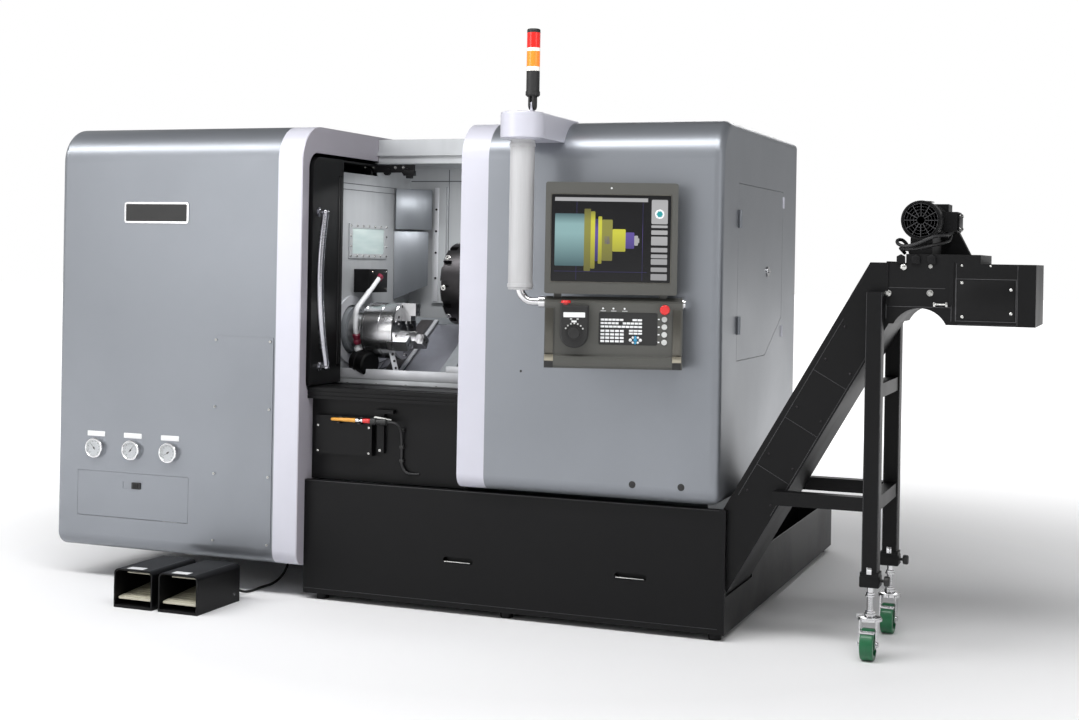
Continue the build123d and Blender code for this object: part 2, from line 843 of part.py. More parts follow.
# Coolant pipe: a block on the chamber wall and a bowed tube with a nozzle
pipe_x = x_liner + 71.0
pipe_radius = 10.0
with BuildPart() as coolant_pipe:
    with BuildSketch(across(x_liner + liner)):
        with Locations((spindle_y + 95, spindle_z + 185)):
            RectangleRounded(150, 84, 8)
    extrude(amount=pipe_x - x_liner - liner - 3)
    with BuildPart(mode=Mode.PRIVATE) as tube:
        with BuildLine(across(pipe_x)) as route:
            FilletPolyline(
                (spindle_y + 108, spindle_z + 203),
                (spindle_y + 40, spindle_z + 158),
                (spindle_y - 88, spindle_z + 78),
                (spindle_y - 88, spindle_z + 10),
                (spindle_y - 62, spindle_z - 62),
                radius=40,
            )
        with BuildSketch(Plane(route.line @ 0, z_dir=route.line % 0)):
            Circle(pipe_radius)
        sweep()
    add(tube.part)
    # Nozzle on the lower end
    rod(Plane(route.line @ 1, z_dir=route.line % 1), pipe_radius + 5, 28)
    rod(Plane(route.line @ 1, z_dir=route.line % 1).offset(28), pipe_radius - 4, 16)

# Saddle on the ways, with keepers outside both ways
saddle_left = turret_face_x + turret_width
saddle_width = 260.0
saddle_bottom = 158.0
saddle_top = 108.0
way_top = bed_drop - way_height
with BuildPart() as saddle:
    with BuildSketch(slope.offset(-saddle_bottom)):
        with Locations((saddle_left + saddle_width / 2, span(way_low, way_high))):
            Rectangle(saddle_width, way_high - way_low + way_width + 44)
    extrude(amount=saddle_bottom - saddle_top)
    with BuildSketch(slope.offset(-way_top + running_gap)):
        for v in (way_low, way_high):
            with Locations((saddle_left + saddle_width / 2, v)):
                Rectangle(saddle_width, way_width)
    extrude(amount=way_top - saddle_bottom)
    keeper = 20.0
    with BuildSketch(slope.offset(-way_top - 36)):
        for v in (way_low - way_width / 2 - keeper / 2 - 0.5,
                  way_high + way_width / 2 + keeper / 2 + 0.5):
            with Locations((saddle_left + saddle_width / 2, v)):
                Rectangle(saddle_width, keeper)
    extrude(amount=way_top + 36 - saddle_bottom)
    # Dovetail rails for the cross slide
    with BuildSketch(slope.offset(-saddle_top)):
        for x in (saddle_left + 50, saddle_left + saddle_width - 50):
            with Locations((x, span(way_low, way_high))):
                Rectangle(30, way_high - way_low + way_width)
    extrude(amount=18)

# Cross slide with the round turret head
slide_fit = 0.05
cross_length = 300.0
turret_head_radius = 88.0
with BuildPart() as cross_slide:
    with BuildSketch(slope.offset(-saddle_top + 18 + slide_fit)):
        with Locations((saddle_left + saddle_width / 2, turret_retract)):
            Rectangle(saddle_width - 10, cross_length)
    extrude(amount=saddle_top - 18 - 40)
    # Skirts beside the rails
    with BuildSketch(slope.offset(-saddle_top + 1)):
        with Locations((saddle_left + saddle_width / 2, turret_retract)):
            Rectangle(saddle_width - 160, cross_length)
    extrude(amount=24)
    turret_plane = Plane(
        slope.from_local_coords(Vector(saddle_left - 1, turret_retract, 0)),
        x_dir=slope.y_dir, z_dir=(1, 0, 0),
    )
    rod(turret_plane, turret_head_radius, 150)
    with BuildSketch(turret_plane):
        with Locations((0, -55)):
            Rectangle(2 * turret_head_radius, 60)
    extrude(amount=saddle_width - 8)
    # Turret motor behind the head
    rod(turret_plane.offset(150), 70, 100)

# Turret disc with tool stations round its rim
with BuildPart() as turret_disc:
    rod(turret_plane.offset(-1 - turret_width), turret_radius, turret_width)
    chamfer(turret_disc.edges().filter_by(GeomType.CIRCLE).sort_by(Axis.X)[0], 8)
    with BuildSketch(turret_plane.offset(-2 - turret_width)):
        with PolarLocations(turret_radius - 6, turret_stations):
            Rectangle(24, 26)
    extrude(amount=42, mode=Mode.SUBTRACT)
    with BuildSketch(turret_plane.offset(-2 - turret_width)):
        with PolarLocations(turret_radius - 48, turret_stations, start_angle=15):
            Circle(7)
    extrude(amount=14, mode=Mode.SUBTRACT)
    rod(turret_plane.offset(-5 - turret_width), 48, 5)

# Tailstock on the lower way and middle of the bed, with a sliding quill
tail_left = x_side - 450.0
tail_length = 260.0
quill_radius = 32.5
with BuildPart() as tailstock:
    # Pad on the lower way, then the base that carries the barrel
    with BuildSketch(slope.offset(-way_top + running_gap)):
        with Locations((tail_left + tail_length / 2, way_low)):
            Rectangle(tail_length, way_width)
    extrude(amount=way_top - saddle_bottom + 1)
    with BuildSketch(slope.offset(-saddle_bottom)):
        with Locations((tail_left + tail_length / 2, way_low + 75)):
            Rectangle(tail_length, 190)
    extrude(amount=60)
    with BuildSketch(slope.offset(-saddle_bottom + 59)):
        with Locations((tail_left + tail_length / 2, 0)):
            Rectangle(tail_length - 40, 110)
    extrude(amount=60)
    barrel = Plane((tail_left, spindle_y, spindle_z), x_dir=(0, 1, 0), z_dir=(1, 0, 0))
    rod(barrel, 62, tail_length)
    rod(barrel.offset(-1), quill_radius + running_gap, tail_length + 2, Mode.SUBTRACT)

with BuildPart() as quill:
    rod(barrel.offset(-20), quill_radius, tail_length)
    with BuildSketch(Plane((tail_left - 20, spindle_y, spindle_z), x_dir=(0, 1, 0),
                           z_dir=(-1, 0, 0))):
        Circle(quill_radius - 4)
    extrude(amount=44, taper=30)

# Door: a folded skin, a black closing post and the guide arm on top
door_left = x_gap_left + 12.0 - door_length
door_right = door_left + door_length
door_bottom = sill_top + 5.0
y_door = y_front + door_front
y_door_back = y_door + door_depth
door_radius = 50.0
post_left = door_right - door_post_width


def door_outline(inset=0.0, mode=Mode.ADD):
    """Side outline of the door, with the rounded upper front edge."""
    with BuildSketch(mode=Mode.PRIVATE) as outline:
        with Locations((span(y_door, y_door_back), span(door_bottom, door_top))):
            Rectangle(door_depth - 2 * inset, door_top - door_bottom - 2 * inset)
        ahead = outline.vertices().group_by(Axis.X)[0].sort_by(Axis.Y)
        fillet(ahead[-1], door_radius - inset)
    add(outline.sketch, mode=mode)


window_left = door_left + 70.0
window_right = post_left - 60.0
window_bottom = 985.0
window_top = door_top - 120.0
window_step = 12.0
with BuildPart() as door_panel:
    with BuildSketch(across(door_left)):
        door_outline()
        door_outline(door_skin, Mode.SUBTRACT)
    extrude(amount=post_left - door_left)
    # Open rear between narrow flanges
    block(
        (door_left - 1, post_left),
        (y_door_back - door_skin - 1, y_door_back + 1),
        (door_bottom + 40, door_top - 40),
        Mode.SUBTRACT,
    )
    # Window opening with rounded corners
    with BuildSketch(facing_front(y_door + door_skin + 1)):
        with Locations((span(window_left, window_right), span(window_bottom, window_top))):
            RectangleRounded(window_right - window_left, window_top - window_bottom, 30)
    extrude(amount=door_skin + 2, mode=Mode.SUBTRACT)
    # Closing post, a full section with seal grooves along its rear half
    with BuildSketch(across(post_left)):
        door_outline()
    extrude(amount=door_post_width)
    post_pocket = 26.0
    with BuildSketch(across(post_left - 1)):
        door_outline(post_pocket)
    extrude(amount=door_post_width - 11, mode=Mode.SUBTRACT)
    for offset_y in (16.0, 32.0):
        block(
            (door_right - 5, door_right + 1),
            (y_door_back - offset_y - 3, y_door_back - offset_y + 3),
            (door_bottom + 60, door_top - 60),
            Mode.SUBTRACT,
        )
    # Guide arm over the chamber wall, with its cross bar and three rollers
    arm_left = door_right - 65.0
    arm_bar_y = y_front + 560.0
    arm_bar_height = 30.0
    block((arm_left, door_right - 5), (y_door_back - 1, arm_bar_y + 1),
          (door_top - 7, door_top))
    block((arm_left, arm_left + 220), (arm_bar_y, arm_bar_y + 12),
          (door_top - arm_bar_height, door_top))
    for i in range(3):
        roller = Plane((arm_left + 30 + i * 80, arm_bar_y + 2, door_top - arm_bar_height + 2),
                       x_dir=(1, 0, 0),
                       z_dir=(0, -1, 0))
        rod(roller, 14, 16)

with BuildPart() as door_window:
    pane_plane = facing_front(y_door + door_skin + 6.5)
    with BuildSketch(pane_plane):
        with Locations((span(window_left, window_right), span(window_bottom, window_top))):
            RectangleRounded(
                window_right - window_left + 2 * window_step,
                window_top - window_bottom + 2 * window_step, 36)
    extrude(amount=6)

# Bowed door handle on two stand-offs
handle_x = door_right + 30.0
handle_radius = 9.0
handle_low = 829.0
handle_high = 1390.0
with BuildPart() as door_handle:
    with BuildPart(mode=Mode.PRIVATE) as grip:
        with BuildLine(across(handle_x)) as bow:
            ThreePointArc(
                (y_front + 120, handle_low),
                (y_front + 64, span(handle_low, handle_high)),
                (y_front + 96, handle_high),
            )
        with BuildSketch(Plane(bow.line @ 0, z_dir=bow.line % 0)):
            Circle(handle_radius)
        sweep()
    add(grip.part)
    for end in (0.0, 1.0):
        point = bow.line @ end
        rod(Plane((door_right, point.Y, point.Z), x_dir=(0, 1, 0), z_dir=(1, 0, 0)),
            handle_radius, handle_x - door_right + 6)
        with BuildPart(mode=Mode.PRIVATE) as cap:
            with Locations(point):
                Sphere(handle_radius + 3)
        add(cap.part)

# Rear cabinet with two doors and louvres
cabinet_left = x_left + 60.0
cabinet_right = x_side - 280.0
cabinet_back = y_back + 550.0
cabinet_bottom = 150.0
cabinet_top = machine_height - 60.0
cabinet_wall = 4.0
louvre_rows = 8
with BuildPart() as rear_cabinet:
    block((cabinet_left, cabinet_right), (y_back, cabinet_back), (cabinet_bottom, cabinet_top))
    fillet(rear_cabinet.edges().filter_by(Axis.Z).group_by(Axis.Y)[-1], 12)
    block(
        (cabinet_left + cabinet_wall, cabinet_right - cabinet_wall),
        (y_back + cabinet_wall, cabinet_back - cabinet_wall),
        (cabinet_bottom + cabinet_wall, cabinet_top - cabinet_wall),
        Mode.SUBTRACT,
    )
    # Two doors stand proud of the back
    door_pitch = (cabinet_right - cabinet_left) / 2
    for i in range(2):
        block(
            (cabinet_left + i * door_pitch + 20, cabinet_left + (i + 1) * door_pitch - 20),
            (cabinet_back - 1, cabinet_back + 3),
            (cabinet_bottom + 40, cabinet_top - 40),
        )
        # Louvres low in each door
        for row in range(louvre_rows):
            block(
                (cabinet_left + (i + 0.5) * door_pitch - 150,
                 cabinet_left + (i + 0.5) * door_pitch + 150),
                (cabinet_back - cabinet_wall - 1, cabinet_back + 4),
                (cabinet_bottom + 120 + row * 28, cabinet_bottom + 128 + row * 28),
                Mode.SUBTRACT,
            )

# Pendant bracket: a deep arm seated on the shoulder of the housing, with a round head
with BuildPart() as pendant_bracket:
    block(
        (mast_x - head_radius + 3, mast_x + head_radius - 3),
        (mast_y, y_front + arm_back),
        (head_bottom, head_top),
    )
    rod(Plane.XY.offset(head_bottom).move(Location((mast_x, mast_y, 0))), head_radius,
        head_top - head_bottom)
    fillet(pendant_bracket.faces().sort_by(Axis.Z)[-1].edges(), 6)
    with BuildSketch(across(mast_x - 200)):
        housing_outline(right_bottom)
    extrude(amount=400, mode=Mode.SUBTRACT)
    rod(Plane.XY.offset(head_bottom - 10).move(Location((mast_x, mast_y, 0))),
        swivel_radius + running_gap, 66, Mode.SUBTRACT)
    # Lug for the light tower
    lug_half = 4.0
    with BuildSketch(Plane.YZ.offset(mast_x - lug_half)):
        with Locations((beacon_y, span(head_top - 2, beacon_z))):
            Rectangle(24, beacon_z - head_top + 2)
        with Locations((beacon_y, beacon_z)):
            Circle(12)
            Circle(4, mode=Mode.SUBTRACT)
    extrude(amount=2 * lug_half)

# Mast with its swivel spigot, lower elbow and the cross shaft that carries the console
shaft_end = console_right + 26.0
with BuildPart() as mast_tube:
    mast_foot = Plane.XY.offset(mast_bottom).move(Location((mast_x, mast_y, 0)))
    rod(mast_foot, mast_radius, head_bottom - 0.5 - mast_bottom)
    fillet(mast_tube.edges().group_by(Axis.Z)[0], 4)
    rod(mast_foot.offset(10), swivel_radius, head_bottom + 50 - mast_bottom - 10)
    with BuildPart(mode=Mode.PRIVATE) as cross_shaft:
        with BuildLine(console) as bend:
            FilletPolyline(
                (0, mast_bottom + 30), (0, hinge_z), (shaft_end, hinge_z), radius=elbow_radius
            )
        with BuildSketch(Plane(bend.line @ 0, z_dir=bend.line % 0)):
            Circle(shaft_radius)
        sweep()
    add(cross_shaft.part)

# Monitor housing with a recessed front and two lugs on the cross shaft
lug_offset = 42.0
lug_width = 24.0
lug_radius = 20.0
monitor_wall = 18.0
glass_depth = 5.0
lug_left = console_left + lug_offset
lug_right = console_right - lug_offset


def console_block(x, z, n, mode=Mode.ADD):
    """A box in the console's own frame: along it, up, and towards the operator."""
    with BuildSketch(console.offset(n[0])) as profile:
        with Locations((span(*x), span(*z))):
            Rectangle(x[1] - x[0], z[1] - z[0])
    extrude(profile.sketch, amount=n[1] - n[0], mode=mode)


console_depth = Axis((0, 0, 0), console.z_dir)


def console_rod(x, radius, length, mode=Mode.ADD):
    """A round bar along the cross shaft."""
    start = console.from_local_coords(Vector(x, hinge_z, 0))
    rod(Plane(start, x_dir=(0, 0, 1), z_dir=console.x_dir), radius, length, mode)


with BuildPart() as monitor:
    with BuildSketch(console.offset(console_back)):
        with Locations((span(console_left, console_right), span(monitor_bottom, monitor_top))):
            RectangleRounded(console_right - console_left, monitor_top - monitor_bottom, 8)
    extrude(amount=console_front - console_back)
    fillet(monitor.faces().sort_by(console_depth)[0].edges(), 4)
    # Recess for the glass, then louvres through the back rim
    with BuildSketch(console.offset(console_front - glass_depth)):
        with Locations((span(glass_left, glass_right), span(glass_bottom, glass_top))):
            RectangleRounded(glass_right - glass_left, glass_top - glass_bottom, 4)
    extrude(amount=glass_depth + 1, mode=Mode.SUBTRACT)
    with BuildSketch(console.offset(console_back - 1)):
        with Locations((span(console_left, console_right), monitor_top - 80)):
            with GridLocations(14, 0, 15, 1):
                SlotOverall(60, 5, rotation=90)
    extrude(amount=5, mode=Mode.SUBTRACT)
    for x in (lug_left, lug_right):
        console_block((x - lug_width / 2, x + lug_width / 2), (hinge_z, monitor_bottom + 4),
                      (console_back, lug_radius - 3))
        console_rod(x - lug_width / 2, lug_radius, lug_width)
        console_rod(x - lug_width / 2 - 1, shaft_radius + running_gap, lug_width + 2,
                    Mode.SUBTRACT)

with BuildPart() as screen_glass:
    with BuildSketch(console.offset(console_front - glass_depth)):
        with Locations((span(glass_left, glass_right), span(glass_bottom, glass_top))):
            RectangleRounded(
                glass_right - glass_left - 2 * fit_gap, glass_top - glass_bottom - 2 * fit_gap,
                4 - fit_gap)
    extrude(amount=3)

# Keyboard box with a bevelled top, side posts and a lower lip
with BuildPart() as keyboard_panel:
    with BuildSketch(console_section):
        with BuildLine():
            Polyline(
                (console_back, keyboard_bottom),
                (console_back, keyboard_top),
                (20, keyboard_top),
                (console_front, keyboard_top - 18),
                (console_front, lip_top),
                (lip_front, lip_top - 6),
                (lip_front, keyboard_bottom + 8),
                (lip_front - 8, keyboard_bottom),
                close=True,
            )
        make_face()
    extrude(amount=keyboard_width)
    # Raised side posts
    for x in (keyboard_left, keyboard_left + keyboard_width - post_width):
        console_block((x, x + post_width), (lip_top, post_top),
                      (console_front - 1, console_front + post_proud))
    # Shallow bed for the key membrane
    with BuildSketch(console.offset(console_front - 1.5)):
        with Locations((span(membrane_left, membrane_right), span(membrane_bottom, membrane_top))):
            RectangleRounded(membrane_right - membrane_left, membrane_top - membrane_bottom, 6)
    extrude(amount=3, mode=Mode.SUBTRACT)
    # Bracket and ledge for the hand unit
    console_block((hand_left + 12, hand_right - 12), (hand_bottom + 30, hand_top - 20),
                  (console_front - 1, hand_back - 0.5))
    # Bore for the cross shaft and pockets for the monitor lugs
    console_rod(console_left, shaft_radius + running_gap, keyboard_width + 10, Mode.SUBTRACT)
    for x in (lug_left, lug_right):
        console_block((x - lug_width / 2 - 1.5, x + lug_width / 2 + 1.5),
                      (hinge_z - lug_radius - 3, keyboard_top + 1),
                      (console_back - 15, lug_radius + 8), Mode.SUBTRACT)
    # Collar of the emergency stop
    stop_plane = console_at(stop_x, stop_z, console_front - 1)
    rod(stop_plane, stop_radius - 3, 11)
    rod(stop_plane.offset(-20), stop_stem + running_gap, 32, Mode.SUBTRACT)
    # Holes and seats of the push buttons
    for z in button_heights:
        seat = console_at(button_x, z, console_front - 4.5)
        rod(seat, button_radius + 0.35, 8, Mode.SUBTRACT)
        rod(seat.offset(-14), button_stem + running_gap, 15, Mode.SUBTRACT)


def stop_button(plane):
    """A mushroom head on its stem, raised off the face that it sits on."""
    with BuildPart() as stop:
        rod(plane.offset(-12), stop_stem, 34)
        with BuildSketch(plane.offset(17)):
            Circle(stop_radius)
        extrude(amount=9)
        fillet(stop.faces().sort_by(Axis(plane.origin, plane.z_dir))[-1].edges(), 5)
    return stop.part


# Hand unit on its bracket, rounded below, with its own emergency stop on top
with BuildPart() as handheld_unit:
    hand_radius = (hand_right - hand_left) / 2
    with BuildSketch(console.offset(hand_back)):
        with Locations((span(hand_left, hand_right), span(hand_bottom + hand_radius, hand_top))):
            Rectangle(hand_right - hand_left, hand_top - hand_bottom - hand_radius)
        with Locations((span(hand_left, hand_right), hand_bottom + hand_radius)):
            Circle(hand_radius)
    extrude(amount=hand_depth)
    chamfer(handheld_unit.faces().sort_by(console_depth)[-1].edges(), 5)
    # Dial seat with the bore for the wheel's spindle
    dial = console_at(span(hand_left, hand_right), wheel_z, hand_back + hand_depth)
    rod(dial.offset(-1), wheel_radius + 4, 3)
    rod(dial.offset(-18), wheel_stem + running_gap, 24, Mode.SUBTRACT)
    # Bore for the stop on the top end
    top_seat = Plane(
        console.from_local_coords(Vector(hand_stop_x, hand_top, hand_back + hand_depth / 2)),
        x_dir=console.x_dir, z_dir=(0, 0, 1),
    )
    rod(top_seat.offset(-30), stop_stem + running_gap, 34, Mode.SUBTRACT)

with BuildPart() as handwheel:
    rod(dial.offset(-12), wheel_stem, 18)
    rod(dial.offset(4), wheel_radius, 10)
    with BuildSketch(dial.offset(14)):
        Circle(wheel_radius - 3)
    extrude(amount=3, taper=30)
    with BuildSketch(dial.offset(8)):
        with PolarLocations(wheel_radius, 24):
            Rectangle(2, 2)
    extrude(amount=7, mode=Mode.SUBTRACT)
    with BuildSketch(dial.offset(10)):
        with Locations((0, wheel_radius - 8)):
            Circle(4)
    extrude(amount=12)

estop_right = stop_button(stop_plane.offset(1))
estop_left = stop_button(top_seat.offset(-11))


def push_button(z):
    """A round cap on a thin stem in its seat."""
    seat = console_at(button_x, z, console_front - 0.5)
    with BuildPart() as push:
        rod(seat, button_radius, 5)
        fillet(push.faces().sort_by(console_depth)[-1].edges(), 1.5)
        rod(seat.offset(-12), button_stem, 12.5)
    return push.part


# Light tower: a hinged black base with its column, cap and two coloured lenses
with BuildPart() as beacon_base:
    cheek = 5.0
    for side in (-1, 1):
        with BuildSketch(Plane.YZ.offset(mast_x + side * (lug_half + 0.4 + cheek / 2) - cheek / 2)):
            with Locations((beacon_y, beacon_z)):
                Circle(knuckle_radius - 3)
            with Locations((beacon_y, span(beacon_z, tower_bottom))):
                Rectangle(2 * (knuckle_radius - 3), tower_bottom - beacon_z)
        extrude(amount=cheek)
    rod(Plane((mast_x - lug_half - 2, beacon_y, beacon_z), x_dir=(0, 1, 0), z_dir=(1, 0, 0)),
        4 - running_gap, 2 * lug_half + 4)
    tower = Plane.XY.move(Location((mast_x, beacon_y, 0)))
    rod(tower.offset(tower_bottom - 4), knuckle_radius, 5)
    rod(tower.offset(tower_bottom), tower_radius, lens_bottom - tower_bottom)
    # Thin core that carries the lenses and the cap
    rod(tower.offset(lens_bottom - 1), core_radius, tower_top - lens_bottom - 8)
    rod(tower.offset(tower_top - cap_height), tower_radius, cap_height)
    fillet(beacon_base.faces().sort_by(Axis.Z)[-1].edges(), 5)

with BuildPart() as beacon_lenses:
    for low, high in ((lens_bottom, lens_split), (lens_split + 0.5, tower_top - cap_height)):
        with BuildSketch(tower.offset(low)):
            Circle(tower_radius)
            Circle(core_radius, mode=Mode.SUBTRACT)
        extrude(amount=high - low)

# Chip conveyor: trough in the tank, steep incline and level discharge head
slant = tan(radians(conveyor_angle))
drop_x = incline_depth * sin(radians(conveyor_angle))
drop_z = incline_depth * cos(radians(conveyor_angle))


def incline_top_x(z):
    """X on the upper line of the incline at a height."""
    return x_side + incline_x + (z - incline_z) / slant


def incline_low_x(z):
    """X on the underside of the incline at a height."""
    return x_side + incline_x + drop_x + (z - incline_z + drop_z) / slant


def conveyor_profile():
    """Closed side outline of the whole casing, with the arch behind the legs."""
    with BuildLine() as outline:
        head = Polyline(
            (arch_left, chute_bottom_z),
            (incline_low_x(chute_bottom_z), chute_bottom_z),
            (incline_low_x(trough_bottom), trough_bottom),
            (trough_left, trough_bottom),
            (trough_left, trough_top),
            (incline_top_x(trough_top), trough_top),
            (incline_top_x(head_top_z), head_top_z),
            (x_end, head_top_z),
            (x_end, chute_bottom_z),
            (arch_right, chute_bottom_z),
        )
        ThreePointArc(head @ 1, (span(arch_left, arch_right), arch_top_z), head @ 0)
    make_face(outline.edges())


with BuildPart() as conveyor_body:
    with BuildSketch(facing_front(y_far)):
        conveyor_profile()
    extrude(amount=conveyor_width)
    with BuildSketch(facing_front(y_far - conveyor_wall)) as cavity:
        conveyor_profile()
        offset(amount=-conveyor_wall, kind=Kind.INTERSECTION, mode=Mode.REPLACE)
    extrude(amount=conveyor_width - 2 * conveyor_wall, mode=Mode.SUBTRACT)
    y_inside = (y_conveyor + conveyor_wall, y_far - conveyor_wall)
    # Open top of the trough, under the chamber
    block((trough_left + 40, x_side - 220), y_inside,
          (trough_top - conveyor_wall - 1, trough_top + 1), Mode.SUBTRACT)
    # Open chute below the end of the head
    block((x_end - chute_length, x_end - conveyor_wall), y_inside,
          (chute_bottom_z - 1, chute_bottom_z + conveyor_wall + 1), Mode.SUBTRACT)
    # Cover strip along the upper edge of the incline and sleeves round the head
    for x, width in ((x_side + 514.0, 6.0), (x_side + 706.0, 14.0)):
        block((x, x + width), (y_conveyor - 4, y_far + 4), (chute_bottom_z + 60, head_top_z + 4))
        block((x - 1, x + width + 1), y_inside,
              (chute_bottom_z + 50, head_top_z - conveyor_wall), Mode.SUBTRACT)
    # Motor bed on the head
    block((motor_x - 42, motor_x + 184), (y_conveyor, y_far), (head_top_z, bed_top_z))

# Drive motor with cooling fins, fan cowl, foot and its lead in two bows
motor_plane = Plane((motor_x, y_conveyor + 262, motor_z), x_dir=(1, 0, 0), z_dir=(0, -1, 0))
with BuildPart() as conveyor_motor:
    rod(motor_plane, motor_radius - 8, 250)
    for i in range(9):
        with BuildSketch(motor_plane.offset(40 + i * 16)):
            Circle(motor_radius - 2)
        extrude(amount=5)
    # Fan cowl with a ring of slots
    rod(motor_plane.offset(195), motor_radius, 58)
    with BuildSketch(motor_plane.offset(248)):
        Circle(motor_radius - 6)
        with PolarLocations(0, 6):
            Rectangle(5, 2 * motor_radius, mode=Mode.SUBTRACT)
        with PolarLocations(0, 1):
            Circle(14, mode=Mode.SUBTRACT)
        for radius in (26, 40):
            Circle(radius + 2, mode=Mode.SUBTRACT)
            Circle(radius - 2)
            Circle(14, mode=Mode.SUBTRACT)
    extrude(amount=6, mode=Mode.SUBTRACT)
    block((motor_x - 34, motor_x + 34), (y_conveyor + 30, y_conveyor + 250),
          (bed_top_z, motor_z - motor_radius + 14))
    # Terminal box on its right and gearbox behind
    block((motor_x + 50, motor_x + 100), (y_conveyor + 110, y_conveyor + 220),
          (motor_z - 34, motor_z + 30))
    block((motor_x - 55, motor_x + 55), (y_conveyor + 256, y_far + 4),
          (motor_z - 60, motor_z + 60))

# Guard over the drive chain on the far side
with BuildPart() as chain_guard:
    with BuildSketch(facing_front(y_far + 4 + guard_depth)):
        with Locations((motor_x, motor_z)):
            Circle(guard_small)
        with Locations((motor_x + guard_shift, guard_low_z)):
            Circle(guard_large)
        make_hull()
    extrude(amount=guard_depth)
    fillet(chain_guard.faces().sort_by(Axis.Y)[-1].edges(), 5)

# Leg frame: two square posts, cross bars, side struts and feet sleeves
y_near_leg = y_conveyor - leg_size / 2
y_far_leg = y_far + leg_size / 2
leg_top = 1150.0
with BuildPart() as conveyor_legs:
    for y in (y_near_leg, y_far_leg):
        block((leg_x - leg_size / 2, leg_x + leg_size / 2), (y - leg_size / 2, y + leg_size / 2),
              (leg_bottom, leg_top))
        # Wider sleeve at the foot with its bore for the caster stem
        block((leg_x - leg_size / 2 - 4, leg_x + leg_size / 2 + 4),
              (y - leg_size / 2 - 4, y + leg_size / 2 + 4), (leg_bottom, leg_bottom + 45))
        rod(Plane.XY.offset(leg_bottom - 1).move(Location((leg_x, y, 0))),
            stem_radius + running_gap, 51, Mode.SUBTRACT)
        # Strut back to the incline
        block((incline_low_x(strut_z) - 40, leg_x), (y - 22, y + 22), (strut_z - 44, strut_z))
    # Cross bars between the posts, below the casing
    for z in (strut_z, 860.0):
        block((leg_x - 20, leg_x + 20), (y_near_leg, y_far_leg), (z - 44, z))

# Swivel casters: fork with its stem, green wheel on an axle
axle_radius = 6.0
fork_gap = 3.0
fork_cheek = 3.0


def caster_frame(y):
    """Plan position of a caster stem."""
    return Plane.XY.move(Location((leg_x, y, 0)))


def caster_fork(y):
    """Stem, top plate, two cheeks and the wheel's axle."""
    half = tread_width / 2 + fork_gap
    with BuildPart() as fork:
        rod(caster_frame(y).offset(stem_bottom), stem_radius, leg_bottom + 40 - stem_bottom)
        rod(caster_frame(y).offset(stem_bottom), 17, 10)
        rod(caster_frame(y).offset(stem_bottom - 8), 38, 8)
        for side in (-1, 1):
            x_cheek = leg_x + side * (half + fork_cheek / 2) - fork_cheek / 2
            with BuildSketch(across(x_cheek)):
                with BuildLine():
                    Polyline(
                        (y + 30, stem_bottom - 2),
                        (y - 34, stem_bottom - 2),
                        (y - caster_trail - 16, caster_radius - 6),
                        (y - caster_trail + 16, caster_radius - 6),
                        close=True,
                    )
                make_face()
                with Locations((y - caster_trail, caster_radius)):
                    Circle(16)
            extrude(amount=fork_cheek)
        rod(Plane((leg_x - half - 8, y - caster_trail, caster_radius), x_dir=(0, 1, 0),
                  z_dir=(1, 0, 0)), axle_radius, 2 * half + 16)
    return fork.part


def caster_wheel(y):
    """Wheel with a crowned tread and a hub."""
    hub = Plane((leg_x - tread_width / 2, y - caster_trail, caster_radius), x_dir=(0, 1, 0),
                z_dir=(1, 0, 0))
    with BuildPart() as wheel:
        rod(hub, caster_radius, tread_width)
        fillet(wheel.edges().filter_by(GeomType.CIRCLE), 6)
        for start in (-1, tread_width - 8):
            with BuildSketch(hub.offset(start)):
                Circle(caster_radius - 14)
                Circle(16, mode=Mode.SUBTRACT)
            extrude(amount=9, mode=Mode.SUBTRACT)
        rod(hub.offset(-1), axle_radius + running_gap, tread_width + 2, Mode.SUBTRACT)
    return wheel.part


caster_fork_front = caster_fork(y_near_leg)
caster_fork_rear = caster_fork(y_far_leg)
caster_wheel_front = caster_wheel(y_near_leg)
caster_wheel_rear = caster_wheel(y_far_leg)

# Brake lever on the front caster's left cheek
brake_pivot_y = y_near_leg + 6.0
brake_pivot_z = stem_bottom - 30.0
with BuildPart() as brake_lever:
    brake_x = leg_x - tread_width / 2 - fork_gap - fork_cheek - 0.5
    pivot = Plane((brake_x - 6, brake_pivot_y, brake_pivot_z), x_dir=(0, 1, 0), z_dir=(1, 0, 0))
    rod(pivot, 9, 6)
    with BuildSketch(pivot.offset(1)):
        with BuildLine():
            Polyline((-6, 6), (6, 6), (62, 26), (66, 14), (8, -8), (-6, -6), close=True)
        make_face()
    extrude(amount=4)
    block((brake_x - 24, brake_x - 2), (brake_pivot_y + 50, brake_pivot_y + 66),
          (brake_pivot_z + 14, brake_pivot_z + 24))

# Two pedal cases with open fronts and rounded upper edges
y_pedal = y_front - pedal_reach
pedal_centres = (pedal_left_x, pedal_left_x + pedal_pitch)


def pedal_section(x, inset, mode=Mode.ADD):
    """Front outline of a pedal case: square feet, rounded shoulders."""
    half = pedal_width / 2 - inset
    low = 2 * inset if inset else 0
    high = pedal_height - inset
    corner = pedal_corner - inset
    with BuildSketch(mode=Mode.PRIVATE) as outline:
        with BuildLine():
            Polyline((x + half, high - corner), (x + half, low), (x - half, low),
                     (x - half, high - corner))
            Line((x - half + corner, high), (x + half - corner, high))
            RadiusArc((x - half, high - corner), (x - half + corner, high), corner)
            RadiusArc((x + half - corner, high), (x + half, high - corner), corner)
        make_face()
    add(outline.sketch, mode=mode)


